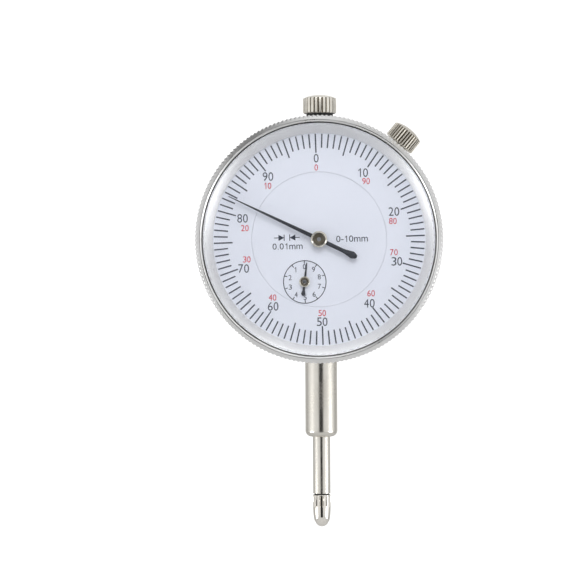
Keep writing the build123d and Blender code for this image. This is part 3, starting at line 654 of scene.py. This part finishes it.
def second_finish(obj, finish, faces):
    """Give some faces of a finished piece another material."""
    obj.data.materials.append(finish)
    for number in faces:
        obj.data.polygons[number].material_index = len(obj.data.materials) - 1
    print(obj.name, "faces in", finish.name + ":", len(faces))


# %% [markdown]
# ## The bezel
# The bezel is the ring that the user turns to bring the zero under the pointer. Its grip is
# a band of fine straight flutes, and its lip is polished. Inside the lip a chamfer runs down
# to the crystal, and mirrors the light or dark of the far side. It is turned first as a
# smooth ring with four steps for each flute, and then two of every four columns of points
# in the band are drawn inwards to make the flutes.

# %% Turn the bezel
bezel_low, bezel_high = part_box("bezel_ring")
BEZEL_R = (bezel_high.x - bezel_low.x) / 2 / MM
FLUTES = 176
FLUTE_DEEP = 0.18
STEPS_PER_FLUTE = 4
BAND_R = 29.9
BEZEL_OUTLINE = [
    (27.3, -5.5), (27.3, -9.7), (28.38, -9.7), (28.38, -13.05), (28.56, -13.42),
    (28.84, -13.66), (28.98, -13.75), (29.2, -13.75), (29.5, -13.45), (29.62, -13.2),
    (29.80, -13.05), (BEZEL_R - 0.25, -12.85), (BEZEL_R, -12.55), (BEZEL_R, -6.95),
    (BEZEL_R - 0.25, -6.65), (29.65, -6.3), (29.65, -5.5),
]
bezel = turned("bezel", BEZEL_OUTLINE, FLUTES * STEPS_PER_FLUTE, "Y")


def in_a_flute(point):
    """True in the hollow half of a flute, on the outer band only."""
    turn = (atan2(point.z, point.x) / (2 * pi)) % 1.0
    column = round(turn * FLUTES * STEPS_PER_FLUTE) % STEPS_PER_FLUTE
    return hypot(point.x, point.z) > BAND_R and column in (2, 3)


edit()
pick(bezel, "VERT", in_a_flute)
narrower = (BEZEL_R - FLUTE_DEEP) / BEZEL_R
bpy.ops.transform.resize(value=(narrower, 1, narrower), center_override=(0, 0, 0))
smooth(bezel, 28)
place(bezel)
finish_piece(bezel, "bezel", finishes["bright_chrome"], "bezel_ring")
GROOVE_R = 28.57 * MM
GROOVE_BACK = -13.1 * MM


def in_groove(centre, normal):
    """True for the narrow wall that faces the crystal's edge, which is painted black as the shadow in
    the groove.
    """
    return hypot(centre.x, centre.z - DIAL_Z * MM) < GROOVE_R and centre.y < GROOVE_BACK


# painted shadow: the groove's wall takes the black paint, so the groove between lip and crystal reads
# dark
second_finish(bezel, finishes["blackened_steel"], faces_where(bezel, in_groove))

# %% [markdown]
# ## Crystal and sloped ring
# The crystal is a flat clear disc with a small chamfer, pressed into the bezel. Under its
# edge lies a fine-turned metal ring whose face slopes down to the scale: it hides the
# crystal's seat and throws light on to the divisions. Both are plain turned outlines.

# %% Turn the crystal and the ring under it
CRYSTAL_BACK = -12.6
CRYSTAL_FRONT = -13.6
SEAT_R = 28.35
CRYSTAL_OUTLINE = [
    (0, CRYSTAL_BACK), (SEAT_R, CRYSTAL_BACK), (SEAT_R, -12.95), (27.95, CRYSTAL_FRONT),
    (0, CRYSTAL_FRONT),
]
crystal = turned("crystal_lens", CRYSTAL_OUTLINE, 160, "Y", closed=False)
smooth(crystal, 30)
place(crystal)
finish_piece(crystal, "bezel", finishes["clear_crystal"], "crystal")

FLANGE_OUTLINE = [
    (26.0, DIAL_FRONT), (SEAT_R, DIAL_FRONT), (SEAT_R, CRYSTAL_BACK), (28.15, CRYSTAL_BACK),
    (28.05, CRYSTAL_BACK + 0.05), (26.06, DIAL_FRONT - 0.30), (26.0, DIAL_FRONT - 0.20),
]
flange = turned("sloped_ring", FLANGE_OUTLINE, 200, "Y")
smooth(flange, 30)
place(flange)
finish_piece(flange, "bezel", finishes["flange_metal"], "dial_flange_ring")

# %% [markdown]
# ## The two dials
# The dial is in two pieces. The outer ring carries the hundred divisions and turns with the
# bezel. The inner disc is fixed to the case, so that the small turn counter stays upright.
# They meet in a seam as thin as a hair. The edges of the sheet are rounded by the paint,
# which is why the seam reads as a soft grey circle and not as a black one.

# %% Turn the two dials
SEAM_R = 16.5
SEAM_HALF = 0.022
SCALE_R = 28.3
EYE_R = 1.2
DIAL_BACK = -9.7
PAINT_EDGE = 0.05
COUNTER_X = -3.6
COUNTER_Z = middle_height("small_pointer_hub") - DIAL_Z


def dial_disc(name, inner, outer, body, node):
    """A sheet ring with paint-rounded edges."""
    edge = PAINT_EDGE
    outline = [
        (inner, DIAL_BACK), (outer, DIAL_BACK), (outer, DIAL_FRONT + edge),
        (outer - edge * 0.3, DIAL_FRONT + edge * 0.3), (outer - edge, DIAL_FRONT),
        (inner + edge, DIAL_FRONT), (inner + edge * 0.3, DIAL_FRONT + edge * 0.3),
        (inner, DIAL_FRONT + edge),
    ]
    disc = turned(name, outline, 160, "Y")
    smooth(disc, 15)
    place(disc)
    finish_piece(disc, body, finishes["dial_white"], node)


dial_disc("scale_ring", SEAM_R + SEAM_HALF, SCALE_R, "bezel", "outer_dial")
dial_disc("centre_disc", EYE_R, SEAM_R - SEAM_HALF, "case", "inner_dial")

# %% [markdown]
# ## The printed scale
# The divisions are pad-printed: a layer of ink with crisp square ends, a few hundredths
# thick. One line is modelled as a thin plate, and copied round the dial by the hundred. The
# lines for every fifth hundredth are longer. The scale stands turned a little to the left,
# as it would after its bezel had been used to set a zero.

# %% Print the divisions
INK = 0.03
DIVISIONS = 100
TICK_OUTER = 25.8
SHORT_TICK = 3.4
LONG_TICK = 4.6
TICK_WIDE = 0.34
SCALE_TURN = 1.8
PRINT_TURN = 1.07


def ink_bar(name, wide, long, x=0.0, z=0.0):
    """A printed line: a plate of ink that lies on the dial, centred on x and z."""
    start_clean()
    bpy.ops.mesh.primitive_plane_add(size=1, location=(x, DIAL_FRONT, z), rotation=(pi / 2, 0, 0))
    bar = bpy.context.object
    bar.name = name
    edit("FACE", "SELECT")
    bpy.ops.transform.resize(value=(wide, 1, long), center_override=(x, DIAL_FRONT, z))
    bpy.ops.mesh.extrude_region_move(TRANSFORM_OT_translate={"value": (0, -INK, 0)})
    bpy.ops.mesh.select_all(action="SELECT")
    bpy.ops.mesh.normals_make_consistent(inside=False)
    bpy.ops.object.mode_set(mode="OBJECT")
    bpy.ops.object.transform_apply(location=True, rotation=True, scale=True)
    return bar


def turned_copy(obj, degrees_left, x=0.0, z=0.0):
    """A copy with its own mesh, turned to the left about a place on the dial."""
    take(obj)
    bpy.ops.object.duplicate(linked=False)
    twin = bpy.context.object
    edit(action="SELECT")
    turn = radians(degrees_left)
    bpy.ops.transform.rotate(value=turn, orient_axis="Y", center_override=(x, 0, z))
    bpy.ops.object.mode_set(mode="OBJECT")
    return twin


def join(parts, name):
    """Join printed parts into one piece."""
    start_clean()
    for part in parts:
        part.select_set(True)
    bpy.context.view_layer.objects.active = parts[0]
    bpy.ops.object.join()
    parts[0].name = name
    return parts[0]


def remove(obj):
    """Take a pattern object out of the scene once its copies are made."""
    bpy.data.objects.remove(obj)


short = ink_bar("short_line", TICK_WIDE, SHORT_TICK, 0, TICK_OUTER - SHORT_TICK / 2)
long = ink_bar("long_line", TICK_WIDE, LONG_TICK, 0, TICK_OUTER - LONG_TICK / 2)
lines = []
for division in range(DIVISIONS):
    pattern = short if division % 5 else long
    lines.append(turned_copy(pattern, SCALE_TURN - division * 360 / DIVISIONS))
remove(short)
remove(long)
scale_lines = join(lines, "scale_lines")
place(scale_lines)
finish_piece(scale_lines, "bezel", paints["ink_grey"])

# %% [markdown]
# **Numerals.** The black numbers count hundredths clockwise and the smaller red ones count
# them the other way, for measuring downwards. All stand upright. Text objects give real
# letter shapes; each sign is turned into a mesh, brought to its height and width, and set
# on its place in the word. The built-in 1 is a bare stroke, so this one is made of two
# printed bars, an upright and a flag.

# %% Lay out printed words
# width, foot and top of a sign, and the step to the next, as shares of the height
DIGIT_BOX = (0.66, 0.0, 1.0)
DIGIT_STEP = 0.776
SIGN_BOX = {"m": (1.0, 0.0, 0.735), ".": (0.14, 0.0, 0.14), "-": (0.39, 0.32, 0.44)}
SIGN_STEP = {"m": 1.163, ".": 0.388, "-": 0.465}
# the figure 1 by its parts, as shares of its height
STROKE = 0.115
ONE_ASIDE = 0.08
FLAG_WIDE = 0.10
FLAG_LONG = 0.36
FLAG_MIDDLE = 0.78
FLAG_HINGE = 0.94
FLAG_TURN = -50


def print_one(x, low, high):
    """The figure 1: an upright with a flag, which the built-in letters lack."""
    x += ONE_ASIDE * high
    upright = ink_bar("upright", STROKE * high, high, x, low + high / 2)
    straight = ink_bar("flag", FLAG_WIDE * high, FLAG_LONG * high, x, low + FLAG_MIDDLE * high)
    flag = turned_copy(straight, FLAG_TURN, x, low + FLAG_HINGE * high)
    remove(straight)
    return join([upright, flag], "figure_one")


def print_glyph(sign, x, low, high, narrow):
    """One letter or figure, fitted to its box, centred on x, its line of writing at low."""
    wide, bottom, top = SIGN_BOX.get(sign, DIGIT_BOX)
    start_clean()
    bpy.ops.object.text_add(rotation=(pi / 2, 0, 0))
    glyph = bpy.context.object
    glyph.data.body = sign
    glyph.data.extrude = INK / 2
    glyph.data.resolution_u = 5
    bpy.ops.object.convert(target="MESH")
    bpy.ops.object.transform_apply(location=True, rotation=True, scale=True)
    corners = [Vector(corner) for corner in glyph.bound_box]
    least = Vector([min(c[i] for c in corners) for i in range(3)])
    most = Vector([max(c[i] for c in corners) for i in range(3)])
    middle = (least + most) / 2
    grow_x = wide * high * narrow / (most.x - least.x)
    grow_z = (top - bottom) * high / (most.z - least.z)
    goal = Vector((x, DIAL_FRONT - INK / 2, low + high * (top + bottom) / 2))
    edit(action="SELECT")
    bpy.ops.transform.resize(value=(grow_x, 1, grow_z), center_override=middle)
    bpy.ops.transform.translate(value=goal - middle)
    bpy.ops.object.mode_set(mode="OBJECT")
    return glyph


def print_text(text, x, z, high, narrow=1.0):
    """A printed word, upright, centred on x and z, of a given height."""
    steps = [SIGN_STEP.get(sign, DIGIT_STEP) * high * narrow for sign in text]
    left = x - sum(steps) / 2
    glyphs = []
    for sign, step in zip(text, steps):
        draw = print_one(left + step / 2, z - high / 2, high) if sign == "1" else None
        glyphs.append(draw or print_glyph(sign, left + step / 2, z - high / 2, high, narrow))
        left += step
    return join(glyphs, "word")


# %% Print the numerals
def on_circle(radius, degrees_right):
    """The x and z of a place on the dial, by its angle to the right of the top."""
    angle = radians(degrees_right)
    return radius * sin(angle), radius * cos(angle)


BLACK_R = 19.85
BLACK_HIGH = 2.1
RED_HIGH = 1.5
RED_STEP = 2.26
NUMERAL_NARROW = 0.86
# how far each tens figure stands from its even place, to the right and up, in mm
BLACK_NUDGE = {
    10: (-0.45, -0.20), 20: (-0.38, -0.05), 30: (-0.12, 0.05), 50: (0.0, -0.30),
    60: (-0.20, 0.10), 70: (0.16, -0.30), 80: (0.33, -0.28), 90: (-0.28, -0.24),
}
RED_NUDGE = {
    10: (0.38, 0.0), 20: (-0.65, -0.10), 30: (-0.83, 0.0), 40: (0.44, 0.16), 50: (0.0, -0.45),
    60: (-0.33, 0.0), 70: (0.93, -0.33), 80: (0.88, -0.40), 90: (-0.40, -0.24),
}
black_words = []
red_words = []
for tens in range(0, DIVISIONS, 10):
    x, z = on_circle(BLACK_R, tens * 360 / DIVISIONS - SCALE_TURN)
    right, up = BLACK_NUDGE.get(tens, (0, 0))
    black_words.append(print_text(str(tens), x + right, z + up, BLACK_HIGH, NUMERAL_NARROW))
    back = (DIVISIONS - tens) % DIVISIONS
    inwards = -RED_STEP if z > 0 else RED_STEP
    right, up = RED_NUDGE.get(tens, (0, 0))
    red_words.append(print_text(str(back), x + right, z + inwards + up, RED_HIGH, NUMERAL_NARROW))
black_numerals = join(black_words, "black_numerals")
red_numerals = join(red_words, "red_numerals")
for numerals, ink, slot in (
    (black_numerals, "ink_grey", "pointer_black"),
    (red_numerals, "ink_red", "dial_white"),
):
    place(numerals)
    finish_piece(numerals, "bezel", paints[ink])

# %% [markdown]
# **The print on the inner disc** says what one division is worth, between a pair of arrows,
# and how far the spindle travels. It is fixed to the case and stands turned by a degree.

# %% Print the inner disc
def ink_arrow(x, z, long, high, way):
    """A filled arrowhead whose point is at x, pointing right if way is 1 and left if -1."""
    head = ink_bar("arrow", long, high, x - way * long / 2, z)
    edit()
    pick(head, "VERT", lambda co: abs(co.x - x) < 0.01)
    bpy.ops.transform.resize(value=(1, 1, 0.02), center_override=(x, DIAL_FRONT, z))
    bpy.ops.object.mode_set(mode="OBJECT")
    return head


ARROW_Z = 0.6
STOP_LEFT = -8.55
STOP_RIGHT = -7.2
ARROW_LONG = 1.4
THIN_INK = 0.2
centre_words = [
    print_text("0.01mm", -7.75, -1.50, 1.5),
    print_text("0-10mm", 8.05, -0.02, 1.55),
    ink_bar("left_stop", THIN_INK, 1.55, STOP_LEFT, ARROW_Z),
    ink_bar("right_stop", THIN_INK, 1.55, STOP_RIGHT, ARROW_Z),
    ink_arrow(STOP_LEFT, ARROW_Z, ARROW_LONG, 1.5, 1),
    ink_arrow(STOP_RIGHT, ARROW_Z, ARROW_LONG, 1.5, -1),
    ink_bar("left_shaft", 1.1, THIN_INK, STOP_LEFT - ARROW_LONG - 0.5, ARROW_Z),
    ink_bar("right_shaft", 1.1, THIN_INK, STOP_RIGHT + ARROW_LONG + 0.5, ARROW_Z),
]

# %% [markdown]
# **The turn counter** is a little circle with ten marks and the figures 0 to 9 set the
# other way round, because its pointer is geared straight to the rod and turns against the
# long one: one figure to the left for each millimetre.

# %% Print the turn counter
PRINT_X = COUNTER_X - 0.17
COUNTER_CIRCLE_R = 5.2
COUNTER_LINE = 0.2
COUNTER_DIGIT_R = 3.75
COUNTER_DIGIT_HIGH = 1.25
COUNTER_MARK = 0.75
COUNTER_FIGURES = 10
inside = COUNTER_CIRCLE_R - COUNTER_LINE / 2
outside = COUNTER_CIRCLE_R + COUNTER_LINE / 2
CIRCLE_OUTLINE = [
    (inside, DIAL_FRONT), (outside, DIAL_FRONT), (outside, DIAL_FRONT - INK),
    (inside, DIAL_FRONT - INK),
]
circle = turned("counter_circle", CIRCLE_OUTLINE, 96, "Y")
take(circle)
circle.location = (PRINT_X, 0, COUNTER_Z)
bpy.ops.object.transform_apply(location=True, rotation=False, scale=False)
mark_z = COUNTER_Z + COUNTER_CIRCLE_R - COUNTER_MARK / 2
mark = ink_bar("counter_mark", COUNTER_LINE, COUNTER_MARK, PRINT_X, mark_z)
counter_print = [circle]
for digit in range(COUNTER_FIGURES):
    leftwards = digit * 360 / COUNTER_FIGURES
    counter_print.append(turned_copy(mark, leftwards, PRINT_X, COUNTER_Z))
    x, z = on_circle(COUNTER_DIGIT_R, -leftwards)
    counter_print.append(print_text(str(digit), PRINT_X + x, COUNTER_Z + z, COUNTER_DIGIT_HIGH, 0.9))
remove(mark)
level_print = join(centre_words + counter_print, "inner_print")
inner_print = turned_copy(level_print, PRINT_TURN)
remove(level_print)
inner_print.name = "inner_print"
place(inner_print)
finish_piece(inner_print, "case", paints["ink_black"])

# %% [markdown]
# ## Pointers
# Both pointers are stamped from thin sheet and painted black: a long taper on one side of
# the eye, and on the other a short bar that ends in a spade, which balances the taper. An
# edge is extruded from station to station and scaled at each, then the flat blade is given
# its thickness and its edges are broken.

# %% Cut the pointers
def blade(name, stations, front, back):
    """A flat blade, drawn pointing up, from its (half width, height) stations, bottom first."""
    half, low = stations[0]
    obj = first_point(name, (-half, front, low))
    bpy.ops.mesh.extrude_region_move(TRANSFORM_OT_translate={"value": (2 * half, 0, 0)})
    bpy.ops.mesh.select_all(action="SELECT")
    for wide, high in stations[1:]:
        bpy.ops.mesh.extrude_region_move(TRANSFORM_OT_translate={"value": (0, 0, high - low)})
        bpy.ops.transform.resize(value=(wide / half, 1, 1), center_override=(0, front, high))
        half, low = wide, high
    bpy.ops.mesh.select_all(action="SELECT")
    bpy.ops.mesh.extrude_region_move(TRANSFORM_OT_translate={"value": (0, back - front, 0)})
    bpy.ops.mesh.select_all(action="SELECT")
    bpy.ops.mesh.normals_make_consistent(inside=False)
    bpy.ops.object.mode_set(mode="OBJECT")
    soften(obj, 60)
    smooth(obj)
    return obj


def point_left(obj, degrees_left, x=0.0, z=0.0):
    """Turn a piece to the left about the dial's centre, and then carry it to x and z."""
    take(obj)
    edit(action="SELECT")
    bpy.ops.transform.rotate(value=radians(degrees_left), orient_axis="Y", center_override=(0, 0, 0))
    bpy.ops.transform.translate(value=(x, 0, z))
    bpy.ops.object.mode_set(mode="OBJECT")


POINTER_ANGLE = 64.3
COUNTER_ANGLE = -6.8
LONG_SHEET = (-11.45, -11.2)
SHORT_SHEET = (-10.65, -10.45)
LONG_STATIONS = [
    (0.30, -10.2), (0.55, -9.95), (0.92, -9.05), (0.88, -8.75), (0.56, -7.1), (0.48, -6.3),
    (0.50, -1.0), (0.52, 1.0), (0.40, 8.0), (0.10, 24.5),
]
SHORT_STATIONS = [
    (0.14, -3.5), (0.40, -3.25), (0.50, -2.9), (0.40, -2.5), (0.27, -2.1), (0.28, -1.0),
    (0.28, 1.0), (0.10, 4.7),
]
long_pointer = blade("long_pointer", LONG_STATIONS, *LONG_SHEET)
point_left(long_pointer, POINTER_ANGLE)
place(long_pointer)
finish_piece(long_pointer, "pointer_arbor", finishes["pointer_black"], "main_pointer")
short_pointer = blade("short_pointer", SHORT_STATIONS, *SHORT_SHEET)
point_left(short_pointer, COUNTER_ANGLE, COUNTER_X, COUNTER_Z)
place(short_pointer)
finish_piece(short_pointer, "counter_arbor", finishes["pointer_black"], "small_pointer")

# %% [markdown]
# Each pointer is held by a turned bronze hub with a dished face and a polished bevel, and the end of the
# steel arbor shows as a lighter dot in its middle. The face's colour is darkened as a painted dark
# reflection, and the bevel is a lighter copy of the same metal as a painted highlight.

# %% Turn the hubs
def hub(name, outline, bevel_r, body, node, x=0.0, z=0.0):
    """A turned hub on an arbor, its small edges broken, with a painted highlight outside bevel_r and a
    painted dark reflection inside it.
    """
    piece = turned(name, outline, 64, "Y")
    soften(piece, 40)
    smooth(piece, 30)
    piece.location = (x, 0, z)
    place(piece)
    finish_piece(piece, body, finishes["hub_bronze"], node)
    middle = Vector((x, 0, DIAL_Z + z)) * MM

    def on_bevel(centre, normal):
        return hypot(centre.x - middle.x, centre.z - middle.z) > bevel_r * MM

    second_finish(piece, finishes["hub_bevel_highlight"], faces_where(piece, on_bevel))


LONG_HUB = [
    (0.5, -10.95), (1.4, -10.95), (1.4, -11.2), (1.0, -11.2), (1.0, -11.45), (2.0, -11.45),
    (2.0, -11.58), (1.62, -11.85), (1.45, -11.85), (1.38, -11.80), (0.5, -11.80),
]
SHORT_HUB = [
    (0.5, -10.3), (0.75, -10.3), (0.75, -10.65), (1.3, -10.65), (1.3, -10.72), (1.06, -10.9),
    (0.94, -10.9), (0.88, -10.86), (0.5, -10.86),
]
LONG_BEVEL_R = 1.50
SHORT_BEVEL_R = 0.97
hub("long_pointer_hub", LONG_HUB, LONG_BEVEL_R, "pointer_arbor", "main_pointer_hub")
hub(
    "short_pointer_hub", SHORT_HUB, SHORT_BEVEL_R, "counter_arbor", "small_pointer_hub",
    COUNTER_X, COUNTER_Z,
)

# %% [markdown]
# ## Knurled heads
# The lifting cap and the clamp screw's head are turned, and then rolled or cut with
# straight flutes so that a finger gets a hold. The flutes on the cap are broad, with a
# narrow groove between them. As on the bezel, the points of some columns are drawn inwards,
# here each column by its own depth, so that a groove is deepest along its middle.

# %% Helper for fluted heads
COLUMNS = 8


def cut_flutes(obj, count, low, high, least_r, depths):
    """Draw points inwards, by a depth for each column; return the faces down in the flutes."""
    for column, depth in depths.items():

        def in_column(point, column=column):
            reach = hypot(point.x, point.y)
            turn = (atan2(point.y, point.x) / (2 * pi)) % 1.0
            number = round(turn * count * COLUMNS) % COLUMNS
            return low < point.z < high and reach > least_r and number == column

        take(obj)
        edit()
        pick(obj, "VERT", in_column)
        narrower = 1 - depth / least_r
        bpy.ops.transform.resize(value=(narrower, narrower, 1), center_override=(0, 0, 0))
        bpy.ops.object.mode_set(mode="OBJECT")

    # the faces down in the flutes, which get the painted shade
    def deep(centre, normal):
        reach = hypot(centre.x, centre.y)
        sunk = least_r * 0.8 < reach < least_r - 0.02
        return low < centre.z < high and abs(normal.z) < 0.5 and sunk

    return faces_where(obj, deep)


# %% [markdown]
# **The lifting cap** sits on top of the rod; the user lifts the rod by it. Its top is gently
# domed. Underneath, a short hole takes the rod's end.

# %% Make the lifting cap
cap_low, cap_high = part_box("stop_cap")
CAP_R = (cap_high.x - cap_low.x + cap_high.y - cap_low.y) / 4 / MM
CAP_BOTTOM = cap_low.z / MM - DIAL_Z
CAP_TOP = cap_high.z / MM - DIAL_Z
CAP_FLUTES = 25
CAP_SHOULDER = CAP_TOP - 0.8
CAP_HOLE = 1.5
CAP_OUTLINE = [
    (CAP_HOLE, CAP_BOTTOM), (CAP_R - 0.3, CAP_BOTTOM), (CAP_R - 0.02, CAP_BOTTOM + 0.22),
    (CAP_R, CAP_BOTTOM + 0.4), (CAP_R, CAP_SHOULDER - 0.3),
    (CAP_R - 0.05, CAP_SHOULDER - 0.12), (CAP_R - 0.32, CAP_SHOULDER),
    (3.2, CAP_SHOULDER + 0.30), (2.2, CAP_SHOULDER + 0.57), (1.1, CAP_TOP - 0.06),
    (0, CAP_TOP), (0, CAP_BOTTOM + CAP_HOLE), (CAP_HOLE, CAP_BOTTOM + CAP_HOLE),
]
cap = turned("lifting_cap", CAP_OUTLINE, CAP_FLUTES * COLUMNS, "Z")
# column of points: how deep it is drawn in, in mm
CAP_FLUTE = {3: 0.20, 4: 0.42, 5: 0.20}
# the band from one height to another, outside a radius
CAP_KNURL = (CAP_BOTTOM + 0.1, CAP_SHOULDER - 0.05, CAP_R - 0.25)
cap_shade = cut_flutes(cap, CAP_FLUTES, *CAP_KNURL, CAP_FLUTE)
smooth(cap, 30)
place(cap)
finish_piece(cap, "plunger", finishes["knurl_nickel"], "stop_cap")
# painted shade in the cap's flute grooves
second_finish(cap, finishes["flute_shade"], cap_shade)

# %% [markdown]
# The underside is flat and is painted black as shade, for the shadow that lies under the cap. Like the
# painted shade in the grooves of both heads, it is a further material on the same mesh.

# %% Paint shade on the cap's underside
# painted shade: the faces that look straight down take the black
second_finish(cap, finishes["blackened_steel"], faces_where(cap, lambda centre, normal: normal.z < -0.9))

# %% [markdown]
# **The bezel clamp** is a small screw with a fluted round head and a domed end. It stands
# out from the bezel at forty degrees to the right of the top, so it is turned upright, as
# on the lathe, and then swung to its angle.

# %% Make the clamp screw
CLAMP_ANGLE = 40.0
CLAMP_Y = -8.4
CLAMP_FLUTES = 32
HEAD_R = 3.9
HEAD_START = 30.4
HEAD_SHOULDER = 34.2
HEAD_END = 35.0
CLAMP_OUTLINE = [
    (0, 27.77), (0.85, 27.77), (1.0, 27.95), (1.0, HEAD_START), (HEAD_R - 0.3, HEAD_START),
    (HEAD_R, HEAD_START + 0.2), (HEAD_R, HEAD_SHOULDER - 0.2), (HEAD_R - 0.3, HEAD_SHOULDER),
    (3.0, HEAD_SHOULDER + 0.32), (2.0, HEAD_SHOULDER + 0.60), (1.0, HEAD_END - 0.05),
    (0, HEAD_END),
]
knob = turned("clamp_knob_screw", CLAMP_OUTLINE, CLAMP_FLUTES * COLUMNS, "Z", closed=False)
CLAMP_FLUTE = {2: 0.08, 3: 0.26, 4: 0.38, 5: 0.26, 6: 0.08}
CLAMP_KNURL = (HEAD_START + 0.1, HEAD_SHOULDER - 0.1, HEAD_R - 0.13)
clamp_shade = cut_flutes(knob, CLAMP_FLUTES, *CLAMP_KNURL, CLAMP_FLUTE)
smooth(knob, 30)
take(knob)
knob.location = (0, CLAMP_Y, 0)
bpy.ops.object.transform_apply(location=True, rotation=False, scale=False)
point_left(knob, -CLAMP_ANGLE)
place(knob)
finish_piece(knob, "clamp_knob", finishes["knurl_nickel"], "clamp_screw")
# painted shade in the clamp head's flute grooves
second_finish(knob, finishes["flute_shade"], clamp_shade)

# %% [markdown]
# ## The measuring tip
# The contact screws into the rod's end. It has a short fluted band to turn it by, a barrel
# that tapers down in a gentle curve, and a hard ball let into its end.

# %% Turn the contact
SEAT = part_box("spindle")[0].z / MM - DIAL_Z
TIP_FLUTES = 16
TIP_FLUTE = {3: 0.12, 4: 0.24, 5: 0.12}
TIP_KNURL = (-66.1, SEAT - 0.5, 2.0)
BARREL_R = 2.22
HOLDER_END = -69.92
HOLDER_OUTLINE = [
    (0, SEAT + 0.9), (1.2, SEAT + 0.9), (1.2, SEAT), (1.8, SEAT), (1.8, SEAT - 0.28),
    (2.12, SEAT - 0.34), (BARREL_R, SEAT - 0.45), (BARREL_R, SEAT - 0.6), (BARREL_R, -66.0),
    (BARREL_R, -66.3), (2.20, -67.0), (2.14, -68.0), (2.03, -69.0), (1.90, -69.6),
    (1.78, HOLDER_END), (0, HOLDER_END),
]
holder = turned("contact_barrel", HOLDER_OUTLINE, TIP_FLUTES * COLUMNS, "Z", closed=False)
cut_flutes(holder, TIP_FLUTES, *TIP_KNURL, TIP_FLUTE)
smooth(holder, 30)
place(holder)
finish_piece(holder, "plunger", finishes["polished_tip"], "contact_holder")
# painted shadow: the narrow neck where the contact meets the rod takes the black, for the shade in that
# seam
SEAM_TOP = (DIAL_Z + SEAT) * MM
SEAM_LOW = (DIAL_Z + SEAT - 0.36) * MM
seam_shadow_faces = faces_where(holder, lambda centre, normal: SEAM_LOW < centre.z < SEAM_TOP)
second_finish(holder, finishes["blackened_steel"], seam_shadow_faces)
for slot in frame["nodes"]["contact_ball"].material_slots:
    slot.material = finishes["polished_tip"]

# %% [markdown]
# ## Sizes
# Last, the size of the frame's box is printed.

# %% Write the sizes and finish
print("CAD box, mm:", [round((b - a) * 1000, 2) for a, b in zip(cad_low, cad_high)])
